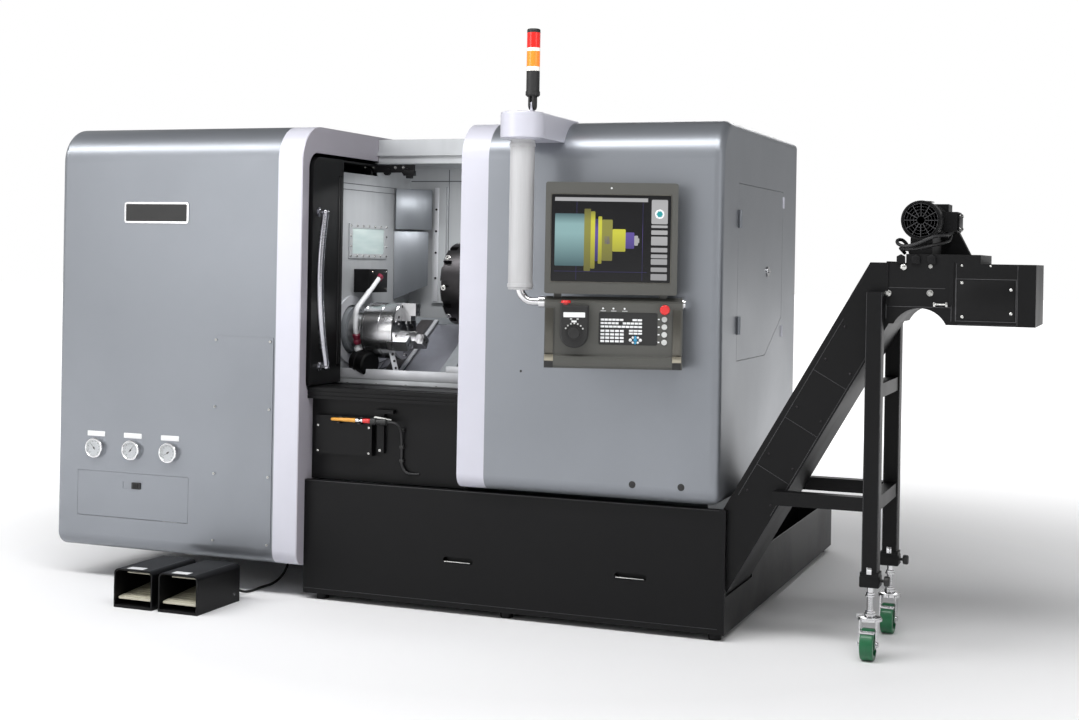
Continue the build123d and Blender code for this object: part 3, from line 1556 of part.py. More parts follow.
with BuildPart() as pedal_cases:
    for x in pedal_centres:
        with BuildSketch(facing_front(y_pedal + pedal_length)):
            pedal_section(x, 0)
        extrude(amount=pedal_length)
        with BuildSketch(facing_front(y_pedal + pedal_length - pedal_wall)):
            pedal_section(x, pedal_wall)
        extrude(amount=pedal_length, mode=Mode.SUBTRACT)
    # Gland for the lead at the back of the right case
    gland = Plane((pedal_centres[1], y_pedal + pedal_length, cord_exit_z), x_dir=(1, 0, 0),
                  z_dir=(0, 1, 0))
    rod(gland.offset(-1), 9, 19)


def treadle(x):
    """Rocking plate with a raised heel, hung on a cross pin inside its case."""
    half = pedal_width / 2 - pedal_wall
    with BuildPart() as rocker:
        with BuildSketch(across(x - half + 6)):
            with BuildLine():
                Polyline(
                    (y_pedal + 14, 28),
                    (y_pedal + 14, 36),
                    (y_pedal + pedal_length - 60, 52),
                    (y_pedal + pedal_length - 60, 30),
                    (y_pedal + pedal_length - 72, 30),
                    (y_pedal + pedal_length - 72, 42),
                    close=True,
                )
            make_face()
            with Locations((y_pedal + pedal_length - 66, 36)):
                Circle(9)
        extrude(amount=2 * half - 12)
        with BuildSketch(Plane((x, y_pedal + 76, 38.5), x_dir=(1, 0, 0), z_dir=(0, -0.09, 1))):
            with GridLocations(0, 22, 1, 5):
                Rectangle(2 * half - 40, 6)
        extrude(amount=4)
        # Pin ends that turn in the case walls
        rod(Plane((x - half - 3, y_pedal + pedal_length - 66, 36), x_dir=(0, 1, 0),
                  z_dir=(1, 0, 0)), 5, 2 * half + 6)
    return rocker.part


treadle_left = treadle(pedal_centres[0])
treadle_right = treadle(pedal_centres[1])
with BuildPart(mode=Mode.PRIVATE) as pin_bores:
    for x in pedal_centres:
        rod(Plane((x - pedal_width / 2 + 1, y_pedal + pedal_length - 66, 36),
                  x_dir=(0, 1, 0), z_dir=(1, 0, 0)), 5 + running_gap, pedal_width - 2)
pedal_cases.part = pedal_cases.part - pin_bores.part

# Lead of the right pedal, back into the machine below the door
cord_radius = 4.5
cord_points = [
    (pedal_centres[1], y_pedal + pedal_length + 18, cord_exit_z),
    (pedal_centres[1], y_pedal + pedal_length + 60, cord_exit_z),
    (pedal_centres[1] + 26, y_pedal + pedal_length + 100, cord_radius + 2),
    (pedal_centres[1] + 40, y_pedal + pedal_length + 160, cord_radius),
    (pedal_centres[1] + 34, y_pedal + pedal_length + 222, cord_radius),
    (pedal_centres[1] + 46, y_pedal + pedal_length + 286, cord_radius + 1),
    (pedal_centres[1] + 50, y_pedal + pedal_length + 352, 26),
    (pedal_centres[1] + 50, y_pedal + pedal_length + 400, 76),
    (pedal_centres[1] + 50, y_pedal + pedal_length + 412, 128),
]


def corner_radii(points):
    """Largest arc that fits each corner: 0.45 of the shorter run over the half-turn tangent."""
    radii = []
    for before, here, after in zip(points, points[1:], points[2:]):
        run_in = Vector(*here) - Vector(*before)
        run_out = Vector(*after) - Vector(*here)
        half_turn = radians(run_in.get_angle(run_out)) / 2
        radii.append(0.45 * min(run_in.length, run_out.length) / tan(half_turn))
    return radii


cord_radii = corner_radii(cord_points)
print("pedal lead radii", [round(radius) for radius in cord_radii])
with BuildPart() as pedal_cord:
    with BuildLine() as lead:
        FilletPolyline(*cord_points, radius=cord_radii)
    with BuildSketch(Plane(lead.line @ 0, z_dir=lead.line % 0)):
        Circle(cord_radius)
    sweep()
lead_length = sum(edge.length for edge in lead.edges())
lead_ratio = pedal_cord.part.volume / (pi * cord_radius**2 * lead_length)
print("pedal lead length", round(lead_length), "volume ratio", round(lead_ratio, 3))

jaws = {f"jaw_{i + 1}": chuck_jaw(i) for i in range(jaw_count)}
buttons = {f"button_{i + 1}": push_button(z) for i, z in enumerate(button_heights)}
pieces = {
    "bed_casting": bed_casting.part,
    "leveling_feet": leveling_feet.part,
    "coolant_tank": coolant_tank.part,
    "left_housing": left_housing.part,
    "left_trim": left_trim.part,
    "right_housing": right_housing.part,
    "right_trim": right_trim.part,
    "side_door": side_door.part,
    "side_latch": side_latch.part,
    "flap": flap.part,
    "flap_latch": flap_latch.part,
    "service_panel": service_panel.part,
    "pressure_gauges": pressure_gauges.part,
    "front_recess": front_recess.part,
    "chamber_liner": chamber_liner.part,
    "way_covers": way_covers.part,
    "headstock": headstock.part,
    "spindle": spindle.part,
    "chuck_body": chuck_body.part,
    **jaws,
    "coolant_pipe": coolant_pipe.part,
    "saddle": saddle.part,
    "cross_slide": cross_slide.part,
    "turret_disc": turret_disc.part,
    "tailstock": tailstock.part,
    "quill": quill.part,
    "door_panel": door_panel.part,
    "door_window": door_window.part,
    "door_handle": door_handle.part,
    "rear_cabinet": rear_cabinet.part,
    "pendant_bracket": pendant_bracket.part,
    "mast_tube": mast_tube.part,
    "monitor": monitor.part,
    "screen_glass": screen_glass.part,
    "keyboard_panel": keyboard_panel.part,
    "handheld_unit": handheld_unit.part,
    "handwheel": handwheel.part,
    "estop_left": estop_left,
    "estop_right": estop_right,
    **buttons,
    "beacon_base": beacon_base.part,
    "beacon_lenses": beacon_lenses.part,
    "conveyor_body": conveyor_body.part,
    "conveyor_motor": conveyor_motor.part,
    "chain_guard": chain_guard.part,
    "conveyor_legs": conveyor_legs.part,
    "caster_fork_front": caster_fork_front,
    "caster_fork_rear": caster_fork_rear,
    "caster_wheel_front": caster_wheel_front,
    "caster_wheel_rear": caster_wheel_rear,
    "brake_lever": brake_lever.part,
    "pedal_cases": pedal_cases.part,
    "treadle_left": treadle_left,
    "treadle_right": treadle_right,
    "pedal_cord": pedal_cord.part,
}
for name, piece in pieces.items():
    piece.label = name
    export_step(piece, f"parts/{name}.step")
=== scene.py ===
# %% [markdown]
# # A CNC turning lathe, dressed for its portrait
#
# The lathe's solids come from a CAD model and stay exactly where that model puts them. This
# lesson lights them, gives every one a real finish, and adds the small things that a maker
# fits last: screws, dials, keys, seams, hoses and lamps. We work in metres, in the CAD's own
# frame: X runs along the spindle to the right, Y goes from the operator to the back, Z is up.
#
# First we load the solids. Nothing may move them.

# %% Load the CAD solids
import math

import bmesh
import bpy
from mathutils import Matrix, Vector


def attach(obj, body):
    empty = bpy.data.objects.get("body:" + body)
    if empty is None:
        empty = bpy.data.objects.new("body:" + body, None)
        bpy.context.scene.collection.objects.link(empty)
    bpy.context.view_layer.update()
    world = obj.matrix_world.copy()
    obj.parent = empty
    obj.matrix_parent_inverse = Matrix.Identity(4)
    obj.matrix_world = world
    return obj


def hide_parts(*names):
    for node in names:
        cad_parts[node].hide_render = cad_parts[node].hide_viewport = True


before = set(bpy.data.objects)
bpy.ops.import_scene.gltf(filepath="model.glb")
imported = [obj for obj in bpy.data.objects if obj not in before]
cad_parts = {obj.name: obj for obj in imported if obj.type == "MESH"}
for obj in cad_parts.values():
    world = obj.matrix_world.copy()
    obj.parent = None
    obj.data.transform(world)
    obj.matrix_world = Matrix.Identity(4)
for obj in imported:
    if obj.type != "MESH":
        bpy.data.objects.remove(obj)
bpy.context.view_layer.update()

# %% [markdown]
# ## The photographer's place
#
# A machine this wide is photographed from the right of its middle, a little above the
# height of the door handle, with a normal to long lens so that its edges stay straight. We
# build the camera from its three turns instead of aiming it with a constraint, because a
# constraint can't hold the small roll of a camera on a tripod.

# %% The camera
MM = 0.001
CAMERA_PLACE = Vector((2.10026, -5.74499, 1.23006))
CAMERA_TURN, CAMERA_TILT, CAMERA_ROLL = (math.radians(a) for a in (21.107, -0.035, 1.0086))


def aim_camera(place, turn, tilt, roll, lens, lift):
    """A camera at a place, turned left, tilted up and rolled, in radians."""
    level = Vector((-math.sin(turn), math.cos(turn), 0))
    ahead = level * math.cos(tilt) + Vector((0, 0, math.sin(tilt)))
    right = Vector((math.cos(turn), math.sin(turn), 0))
    up = right.cross(ahead)
    rolled_right = right * math.cos(roll) + up * math.sin(roll)
    rolled_up = up * math.cos(roll) - right * math.sin(roll)
    data = bpy.data.cameras.new("camera")
    data.lens, data.sensor_width, data.shift_y = lens, 36, lift
    camera = bpy.data.objects.new("camera", data)
    bpy.context.scene.collection.objects.link(camera)
    turned = Matrix((rolled_right, rolled_up, -ahead)).transposed().to_4x4()
    camera.matrix_world = Matrix.Translation(place) @ turned
    return camera


bpy.context.scene.camera = aim_camera(
    CAMERA_PLACE, CAMERA_TURN, CAMERA_TILT, CAMERA_ROLL, lens=53.0, lift=-0.0916
)
print("camera stands", round((CAMERA_PLACE - Vector((0, -0.77, 1))).length, 2), "m away")

# %% [markdown]
# ## The lead of the foot pedals
#
# The two pedals stand loose on the floor, and one rubber lead runs from the right-hand case
# back under the housing. A lead is a fixed length of something bendy: it leaves straight,
# droops to the floor, wanders a little and climbs to its entry. A smooth NURBS line with a
# few control points does that, where a line through many points would look like bent wire.
# It comes first, because its route was settled together with the CAD.

# %% The pedal lead
LEAD_ROUTE = [
    (-0.9875, -0.8345, 0.040), (-0.9875, -0.7925, 0.040), (-0.9615, -0.7525, 0.0065),
    (-0.9475, -0.6925, 0.0045), (-0.9535, -0.6305, 0.0045), (-0.9415, -0.5665, 0.0055),
    (-0.9375, -0.5005, 0.026), (-0.9375, -0.4525, 0.076), (-0.9375, -0.4405, 0.128),
]


def bent_line(name, route, diameter):
    """A round bar along a smooth line that a list of points in metres steers.

    Each point's radius scales a bevel of 1 m, which keeps the curve's own box true.
    """
    curve = bpy.data.curves.new(name, "CURVE")
    curve.dimensions = "3D"
    spline = curve.splines.new("NURBS")
    spline.points.add(len(route) - 1)
    for point, place in zip(spline.points, route):
        point.co = (*place, 1)
        point.radius = diameter / 2
    spline.order_u = 3
    spline.use_endpoint_u = True
    curve.resolution_u = 10
    curve.bevel_depth = 1.0
    curve.bevel_resolution = 3
    curve.use_fill_caps = True
    line = bpy.data.objects.new(name, curve)
    bpy.context.scene.collection.objects.link(line)
    return line


pedal_lead = bent_line("pedal_lead", LEAD_ROUTE, 0.009)
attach(pedal_lead, "machine")
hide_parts("pedal_cord")

# %% [markdown]
# ## Shader maths as Python
#
# Every finish below is a small graph of nodes. Wiring sockets by hand hides what the graph
# says, so we wrap one output in a class whose operators add Math nodes: `1 - mask` then
# reads as it is meant. Any other node comes from one method. Colours are mixed by a Mix node,
# since a Math node would turn them grey.

# %% A socket that can be used in a sum
class Tap:
    """One output of a finish's nodes."""

    def __init__(self, finish, socket):
        self.finish, self.socket = finish, socket

    def maths(self, operation, *values):
        """A Math node on these values."""
        return self.finish.node("ShaderNodeMath", {"operation": operation}, dict(enumerate(values)))

    def __add__(self, other):
        return self.maths("ADD", self, other)

    __radd__ = __add__

    def __sub__(self, other):
        return self.maths("SUBTRACT", self, other)

    def __rsub__(self, other):
        return self.maths("SUBTRACT", other, self)

    def __mul__(self, other):
        return self.maths("MULTIPLY", self, other)

    __rmul__ = __mul__

    def __truediv__(self, other):
        return self.maths("DIVIDE", self, other)

    def __gt__(self, other):
        return self.maths("GREATER_THAN", self, other)

    def __lt__(self, other):
        return self.maths("LESS_THAN", self, other)


# %% [markdown]
# ## A finish
#
# One finish is one material. Numbers that are the same all over go straight onto the shader's
# own sockets. What varies goes through `feed`, and only to sockets that can be baked: colour,
# roughness, metal, coat weight, emission colour and the normal. Real lengths matter, so the
# pattern coordinates are the object's own, in metres: a scale of 400 is a grain of 2.5 mm.

# %% The finish builder
class Finish:
    """A material whose surface is described with Python expressions."""

    def __init__(self, name, color, roughness=0.5, metallic=0.0, **constants):
        self.name = name
        self.material = bpy.data.materials.new(name)
        self.material.use_nodes = True
        self.tree = self.material.node_tree
        self.shader = self.tree.nodes["Principled BSDF"]
        self.color, self.grit = (*color, 1), roughness
        fixed = {"Base Color": self.color, "Roughness": roughness, "Metallic": metallic}
        for socket, value in {**fixed, **constants}.items():
            self.shader.inputs[socket.replace("_", " ")].default_value = value

    def node(self, kind, settings=(), inputs=(), output=0):
        """A node of a kind, with its settings and the values or links of its sockets."""
        made = self.tree.nodes.new(kind)
        for setting, value in dict(settings).items():
            if setting == "stops":
                self.set_stops(made.color_ramp, value)
            else:
                setattr(made, setting, value)
        for socket, value in dict(inputs).items():
            if isinstance(value, Tap):
                self.tree.links.new(value.socket, made.inputs[socket])
            else:
                made.inputs[socket].default_value = value
        return Tap(self, made.outputs[output])

    def set_stops(self, ramp, stops):
        """Colour stops (place, grey or colour) on a ramp."""
        while len(ramp.elements) < len(stops):
            ramp.elements.new(1)
        for element, (place, shade) in zip(ramp.elements, stops):
            element.position = place
            element.color = (*(shade if hasattr(shade, "__len__") else [shade] * 3), 1)

    def feed(self, **links):
        """Links to the shader's own sockets, by name with _ for a space."""
        for socket, tap in links.items():
            self.tree.links.new(tap.socket, self.shader.inputs[socket.replace("_", " ")])
        return self

    def place(self, *stretch):
        """Where on the piece we are, in metres, stretched by three factors if given."""
        spot = self.node("ShaderNodeTexCoord", output="Object")
        if stretch:
            settings = {"operation": "MULTIPLY"}
            spot = self.node("ShaderNodeVectorMath", settings, {0: spot, 1: stretch})
        return spot

    def along(self, axis):
        """The coordinate along X, Y or Z, in metres."""
        return self.node("ShaderNodeSeparateXYZ", (), {0: self.place()}, axis)

    def grain(self, scale, stretch=(), detail=2.0, distortion=0.0):
        """Even noise from 0 to 1 whose grains are 1/scale metres apart."""
        values = {"Vector": self.place(*stretch), "Scale": scale, "Detail": detail,
                  "Distortion": distortion}
        return self.node("ShaderNodeTexNoise", (), values)

    def ramp(self, value, *stops):
        """A value turned into the shade or colour between stops."""
        return self.node("ShaderNodeValToRGB", {"stops": stops}, {0: value})

    def blend(self, mask, first, second):
        """The first colour where the mask is 0 and the second where it is 1."""
        colors = {0: mask, 6: self.tint(first), 7: self.tint(second)}
        return self.node("ShaderNodeMix", {"data_type": "RGBA"}, colors, 2)

    @staticmethod
    def tint(color):
        """A colour as a socket takes it."""
        return color if isinstance(color, Tap) else (*color[:3], 1)

    def shaded(self, mask, share):
        """The finish's own colour, darker by a share where the mask is 1."""
        return self.blend(mask, self.color, [c * (1 - share) for c in self.color[:3]])

    def bump(self, height, depth):
        """Relief of that depth in metres, as the surface's normal."""
        values = {"Height": height, "Distance": depth, "Strength": 1.0}
        return self.feed(Normal=self.node("ShaderNodeBump", (), values))


print("tools for finishes are ready")

# %% [markdown]
# ## Paint
#
# The housings are sheet steel with a baked metallic paint. From near, the sprayed paint has
# a faint orange peel, and from further off a slow mottle where hands and coolant have been.
# Both are noise at two scales: the fine one only bends the normal, the slow one moves colour
# and roughness a little.

# %% Painted sheet
def painted(name, color, roughness, peel=2e-5, mottle=0.07, **constants):
    """Baked paint on sheet steel."""
    paint = Finish(name, color, roughness, **constants)
    patches = paint.ramp(paint.grain(2.2, detail=5.0), (0.35, 0.0), (0.7, 1.0))
    paint.feed(Base_Color=paint.shaded(patches, mottle), Roughness=paint.grit + patches * 0.07)
    return paint.bump(paint.grain(420.0), peel)


housing_paint = painted("grey_paint", (0.25, 0.265, 0.29), 0.30, metallic=0.6)
pale_paint = painted("pale_paint", (0.56, 0.56, 0.63), 0.34, metallic=0.1)
console_paint = painted("console_paint", (0.075, 0.075, 0.068), 0.42)
cabinet_paint = painted("light_paint", (0.40, 0.42, 0.45), 0.45)
dark_paint = painted("dark_paint", (0.10, 0.105, 0.115), 0.45)

# %% [markdown]
# Powder coat is thicker than paint and has a finer, sharper texture, and its edges catch a
# thin line of light. The pointiness of a mesh would mark those edges, but it depends on how
# finely the mesh is cut, so that line of light becomes thin pale strips of its own further
# down, a painted highlight, and the coat only varies in tone and gloss.

# %% Powder coat and castings
def powder_coated(name, color, roughness, **constants):
    """Black or grey powder coat with a fine texture and dull patches."""
    coat = Finish(name, color, roughness, **constants)
    dust = coat.ramp(coat.grain(3.5, detail=6.0), (0.4, 0.0), (0.75, 1.0))
    lifted = coat.blend(dust * 0.35, coat.color, [c * 1.5 + 0.001 for c in color])
    coat.feed(Base_Color=lifted, Roughness=coat.grit + dust * 0.12)
    return coat.bump(coat.grain(900.0), 3e-5)


def cast(name, color, roughness=0.55):
    """Filled and painted casting, a little wavy over the sand skin."""
    skin = Finish(name, color, roughness)
    waves = skin.grain(28.0, detail=4.0)
    skin.feed(Base_Color=skin.shaded(skin.ramp(waves, (0.3, 0.0), (0.8, 1.0)), 0.18))
    return skin.bump(waves * 0.7 + skin.grain(260.0) * 0.3, 4e-4)


black_coat = powder_coated("black_paint", (0.0022, 0.0022, 0.0026), 0.40, Specular_IOR_Level=0.22)
grey_casting = cast("cast_iron", (0.20, 0.215, 0.23))

# %% [markdown]
# Turned steel keeps the rings of the tool, ground steel keeps straight scratches. Both are
# noise stretched many times along one direction, so that a round grain becomes a line. On the
# chuck the rings lie round X, so the noise is fine along X and slow across it.

# %% Machined steel and chrome
def machined(name, color, roughness, stretch, depth=6e-6, wear=0.25, **constants):
    """Bare metal with tool marks, fine where the stretch is large."""
    metal = Finish(name, color, roughness, 1.0, **constants)
    marks = metal.grain(60.0, stretch, detail=3.0)
    stains = metal.ramp(metal.grain(9.0, detail=5.0), (0.45, 0.0), (0.8, 1.0))
    metal.feed(Base_Color=metal.shaded(stains, wear),
               Roughness=metal.grit + (marks - 0.5) * 0.14 + stains * 0.08)
    return metal.bump(marks, depth)


turned_steel = machined("steel", (0.56, 0.56, 0.57), 0.30, (22.0, 0.6, 0.6))
chuck_steel = machined("chuck_steel", (0.62, 0.62, 0.63), 0.20, (22.0, 0.6, 0.6), 4e-6, 0.12)
dark_steel = machined("dark_steel", (0.045, 0.043, 0.045), 0.36, (18.0, 0.6, 0.6), wear=0.4)
handle_metal = machined("handle_metal", (0.50, 0.50, 0.54), 0.24, (0.7, 0.7, 14.0), 1.5e-5)
chrome = machined("chrome", (0.72, 0.72, 0.73), 0.12, (3.0, 3.0, 3.0), 1e-6, 0.1)
bolt_steel = machined("bolt_steel", (0.62, 0.62, 0.60), 0.22, (4.0, 4.0, 4.0), 2e-6, 0.3)

# %% [markdown]
# The chamber is lined with painted sheet that coolant and chips have dulled in runs. A run
# is slow noise stretched upwards. The bed covers have the same runs on darker and more
# metallic sheet.

# %% Chamber sheet
def lined(name, color, roughness, metallic):
    """Chamber sheet with dried runs of coolant."""
    sheet = Finish(name, color, roughness, metallic)
    runs = sheet.ramp(sheet.grain(14.0, (1.0, 1.0, 0.12), 5.0), (0.42, 0.0), (0.72, 1.0))
    sheet.feed(Base_Color=sheet.shaded(runs, 0.07), Roughness=sheet.grit + runs * 0.14)
    return sheet.bump(sheet.grain(320.0), 2e-5)


chamber_sheet = lined("sheet_steel", (0.46, 0.475, 0.49), 0.34, 0.35)
cover_sheet = lined("cover_sheet", (0.33, 0.33, 0.37), 0.30, 0.75)

# %% [markdown]
# Moulded plastic has a spark-eroded grain of about half a millimetre. Gloss caps have next to
# none. Rubber and the polyurethane tyres are made the same way, and all of them are scuffed
# in patches. The glass of window and dials is clear and only a little smudged.

# %% Plastics, rubber and glass
def moulded(name, color, roughness, grain=5e-5, **constants):
    """Injection-moulded plastic with its fine grain."""
    plastic = Finish(name, color, roughness, **constants)
    worn = plastic.ramp(plastic.grain(16.0, detail=4.0), (0.45, 0.0), (0.8, 1.0))
    plastic.feed(Base_Color=plastic.shaded(worn, 0.1), Roughness=plastic.grit + worn * 0.1)
    return plastic.bump(plastic.grain(1600.0), grain)


black_plastic = moulded("black_plastic", (0.013, 0.013, 0.013), 0.45)
pale_plastic = moulded("pale_plastic", (0.55, 0.56, 0.55), 0.3, 1e-5)
white_plastic = moulded("white_plastic", (0.78, 0.79, 0.80), 0.35, 1e-5)
red_plastic = moulded("red_plastic", (0.62, 0.012, 0.012), 0.22, 5e-6, Coat_Weight=0.5)
cream_plastic = moulded("cream_plastic", (0.52, 0.50, 0.40), 0.5)
lead_rubber = moulded("cable", (0.012, 0.012, 0.013), 0.5)
tyre = moulded("green_tread", (0.001, 0.12, 0.04), 0.42, 8e-5, Coat_Weight=0.3)
copper_plastic = moulded("hose_amber", (0.70, 0.33, 0.05), 0.3, 1e-5)
pipe_enamel = moulded("pipe_enamel", (0.70, 0.71, 0.73), 0.2, 5e-6, Coat_Weight=0.6)
maroon_plastic = moulded("maroon_plastic", (0.16, 0.01, 0.03), 0.3, 1e-5)
pane_glass = Finish("window", (0.8, 0.85, 0.86), 0.06, Transmission_Weight=0.92, IOR=1.45)
smudges = pane_glass.ramp(pane_glass.grain(7.0, detail=5.0), (0.45, 0.0), (0.8, 1.0))
pane_glass.feed(Roughness=pane_glass.grit + smudges * 0.12)
dial_glass = Finish("dial_glass", (0.95, 0.96, 0.97), 0.04, Transmission_Weight=1.0, IOR=1.3)
dial_glass.feed(Roughness=dial_glass.grit + dial_glass.grain(40.0) * 0.06)

# %% [markdown]
# The light tower's two lenses are one solid in the CAD: amber below, red above, each with
# fine vertical prisms and a pale ring at its foot. The height picks the colour, and noise
# stretched upwards presses the prisms. The lamps are lit, so they glow a little.

# %% The lenses of the light tower
AMBER_FOOT, AMBER_TOP, RED_FOOT = 1.866, 1.917, 1.928
lens = Finish("lens", (0.8, 0.2, 0.02), 0.22, Coat_Weight=0.6, Emission_Strength=0.35)
height = lens.along(2)
is_red = height > (AMBER_TOP + RED_FOOT) / 2
is_ring = (height < AMBER_FOOT) + (height > AMBER_TOP) * (height < RED_FOOT)
glow = lens.blend(is_red, (0.90, 0.22, 0.02), (0.62, 0.012, 0.008))
body_color = lens.blend(is_ring, glow, (0.80, 0.77, 0.72))
lens.feed(Base_Color=body_color, Emission_Color=body_color)
upright = {"Vector": lens.place(1.0, 1.0, 0.02), "Scale": 700.0}
prisms = lens.node("ShaderNodeTexNoise", (), upright)
lens.bump(prisms, 2e-4)

# %% [markdown]
# ## Finishes onto the solids
#
# Each CAD solid now gets its finish. One table says which, so a reader can check it against
# the picture. A few solids carry two finishes, such as the pale trim whose inner wall is a
# cooler grey; there the position on the solid picks the colour inside one finish.

# %% Two-tone finishes
TRIM_WALL_X = -0.7348
trim_paint = painted("trim_paint", (0.60, 0.60, 0.67), 0.34, metallic=0.1)
walls = trim_paint.ramp(trim_paint.grain(2.2, detail=5.0), (0.35, 0.0), (0.7, 1.0))
inner_wall = trim_paint.along(0) > TRIM_WALL_X
band = trim_paint.shaded(walls, 0.05)
trim_paint.feed(Base_Color=trim_paint.blend(inner_wall, band, (0.42, 0.40, 0.45)))

# %% Which solid wears what
WEARS = {
    housing_paint: "left_housing right_housing side_door flap service_panel",
    trim_paint: "left_trim",
    pale_paint: "right_trim pendant_bracket",
    cabinet_paint: "rear_cabinet",
    black_coat: "coolant_tank front_recess door_panel conveyor_body conveyor_motor chain_guard"
                " conveyor_legs pedal_cases",
    grey_casting: "bed_casting headstock saddle cross_slide tailstock",
    turned_steel: "leveling_feet spindle quill jaw_1 jaw_2 jaw_3 brake_lever",
    chuck_steel: "chuck_body",
    dark_steel: "turret_disc",
    chamber_sheet: "chamber_liner",
    cover_sheet: "way_covers",
    pipe_enamel: "coolant_pipe",
    chrome: "pressure_gauges side_latch caster_fork_front caster_fork_rear",
    handle_metal: "door_handle",
    console_paint: "monitor keyboard_panel",
    black_plastic: "handheld_unit handwheel flap_latch beacon_base",
    red_plastic: "estop_left estop_right",
    pale_plastic: "button_1 button_2 button_3 button_4",
    lens: "beacon_lenses",
    tyre: "caster_wheel_front caster_wheel_rear",
    cream_plastic: "treadle_left treadle_right",
    pane_glass: "door_window",
    lead_rubber: "pedal_cord",
}


def wear(item, finish):
    """Gives all of a piece's surface one finish."""
    item.data.materials.clear()
    item.data.materials.append(finish.material)


for finish, solids in WEARS.items():
    for solid in solids.split():
        wear(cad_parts[solid], finish)
wear(pedal_lead, lead_rubber)
dressed = sum(len(solids.split()) for solids in WEARS.values())
print(dressed, "of", len(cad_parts), "solids have a finish; mast and screen get theirs later")

# %% [markdown]
# ## The studio
#
# A product shot of dark and grey metal lives from large soft lights: the shoulders of the
# housings show a bright line because a long softbox hangs above the operator's side, and
# the fronts stay an even grey. The floor is a plain pale disc, far wider than the picture,
# under a pale sky, so it runs out of the frame without a corner. Far out it glows a little,
# where the lamps no longer reach it. A dark cloth overhead keeps the tops of the shoulders
# dark beside their bright line.

# %% Floor and cloth
FLOOR_RADIUS = 60.0
CLOTH = ((-3.2, -1.0, 3.4), (3.2, -1.0, 3.4), (3.2, 4.0, 3.4), (-3.2, 4.0, 3.4))


def around(middle, radius, count, start=0.0):
    """Places on a circle, from a start in degrees."""
    turns = [math.radians(start + 360 / count * i) for i in range(count)]
    return [(middle[0] + radius * math.cos(t), middle[1] + radius * math.sin(t)) for t in turns]


def stage_sheet(name, corners, finish):
    """A flat sheet of the studio, which isn't part of the lathe."""
    data = bpy.data.meshes.new(name)
    data.from_pydata(corners, [], [list(range(len(corners)))])
    sheet = bpy.data.objects.new(name, data)
    bpy.context.scene.collection.objects.link(sheet)
    wear(sheet, finish)
    return sheet


floor_finish = Finish("floor", (0.86, 0.86, 0.87), 0.75, Emission_Strength=1.0)
across, back = floor_finish.along(0), floor_finish.along(1)
distance = across * across + back * back
far_white = floor_finish.ramp(distance / 40, (0.07, 0.0), (0.25, 0.38), (0.7, 0.95))
dull = floor_finish.grit + floor_finish.grain(1.5) * 0.1
floor_finish.feed(Roughness=dull, Emission_Color=far_white)
stage_sheet("floor", [(*spot, 0) for spot in around((0, 0), FLOOR_RADIUS, 96)], floor_finish)
stage_sheet("dark_cloth", CLOTH, black_coat).visible_camera = False

# %% Softboxes and sky
LAMPS = (
    ("shoulder_light", (-1.8, -3.1, 4.4), (-1.8, -0.7, 1.5), (10.5, 1.1), 330),
    ("front_light", (-3.8, -6.5, 2.6), (-0.4, -0.6, 0.9), (3.0, 3.0), 62),
    ("right_light", (6.5, -3.4, 2.8), (0.8, -0.2, 0.9), (2.5, 2.5), 26),
    ("chamber_light", (-0.36, -0.25, 1.52), (-0.45, -0.1, 0.9), (0.45, 0.06), 3),
    ("back_light", (-1.5, 6.5, 4.5), (-0.2, 0.4, 1.0), (5.0, 2.5), 130),
)


def softbox(name, place, target, size, watts):
    """A rectangular area light that faces a target."""
    data = bpy.data.lights.new(name, "AREA")
    data.shape, data.size, data.size_y, data.energy = "RECTANGLE", size[0], size[1], watts
    lamp = bpy.data.objects.new(name, data)
    lamp.visible_camera = False
    bpy.context.scene.collection.objects.link(lamp)
    away = (Vector(place) - Vector(target)).to_track_quat("Z", "Y")
    lamp.matrix_world = Matrix.Translation(place) @ away.to_matrix().to_4x4()


for lamp in LAMPS:
    softbox(*lamp)

sky = bpy.data.worlds.new("studio")
sky.use_nodes = True
nodes, link = sky.node_tree.nodes, sky.node_tree.links.new
sky_light, backdrop = nodes["Background"], nodes.new("ShaderNodeBackground")
for shade in (sky_light, backdrop):
    shade.inputs["Color"].default_value = (1.0, 1.0, 1.0, 1)
sky_light.inputs["Strength"].default_value = 0.34
ray, choice = nodes.new("ShaderNodeLightPath"), nodes.new("ShaderNodeMixShader")
link(ray.outputs["Is Camera Ray"], choice.inputs[0])
link(sky_light.outputs[0], choice.inputs[1])
link(backdrop.outputs[0], choice.inputs[2])
link(choice.outputs[0], nodes["World Output"].inputs[0])
bpy.context.scene.world = sky
bpy.context.scene.view_settings.view_transform = "Standard"
print(len(LAMPS), "lamps over a floor", FLOOR_RADIUS * 2, "m wide")

# %% [markdown]
# ## A mould for small parts
#
# The small parts are drawn in millimetres, in the frame of the face that they sit on: X and Y
# along the face and Z off it. That is how a drawing would show them, and one matrix turns the
# frame into the lathe's. A mould gathers any number of slabs and turned shapes and then
# becomes one piece, because forty equal screws are one thing to whoever looks at them.

# %% Faces and outlines
def face(x_dir, y_dir, origin):
    """The frame of a face: its own X and Y, with Z off the face, from an origin in mm."""
    x, y = Vector(x_dir), Vector(y_dir)
    turned = Matrix((x, y, x.cross(y))).transposed().to_4x4()
    return Matrix.Translation(origin) @ turned


def front(y):
    """A face towards the operator, at a depth."""
    return face((1, 0, 0), (0, 0, 1), (0, y, 0))


def right_side(x):
    """A face towards the conveyor."""
    return face((0, 1, 0), (0, 0, 1), (x, 0, 0))


def rear(y):
    """A face towards the back; its X runs to the left of the lathe."""
    return face((-1, 0, 0), (0, 0, 1), (0, y, 0))


def grid(xs, ys):
    """Every pair of an X and a Y."""
    return [(x, y) for x in xs for y in ys]


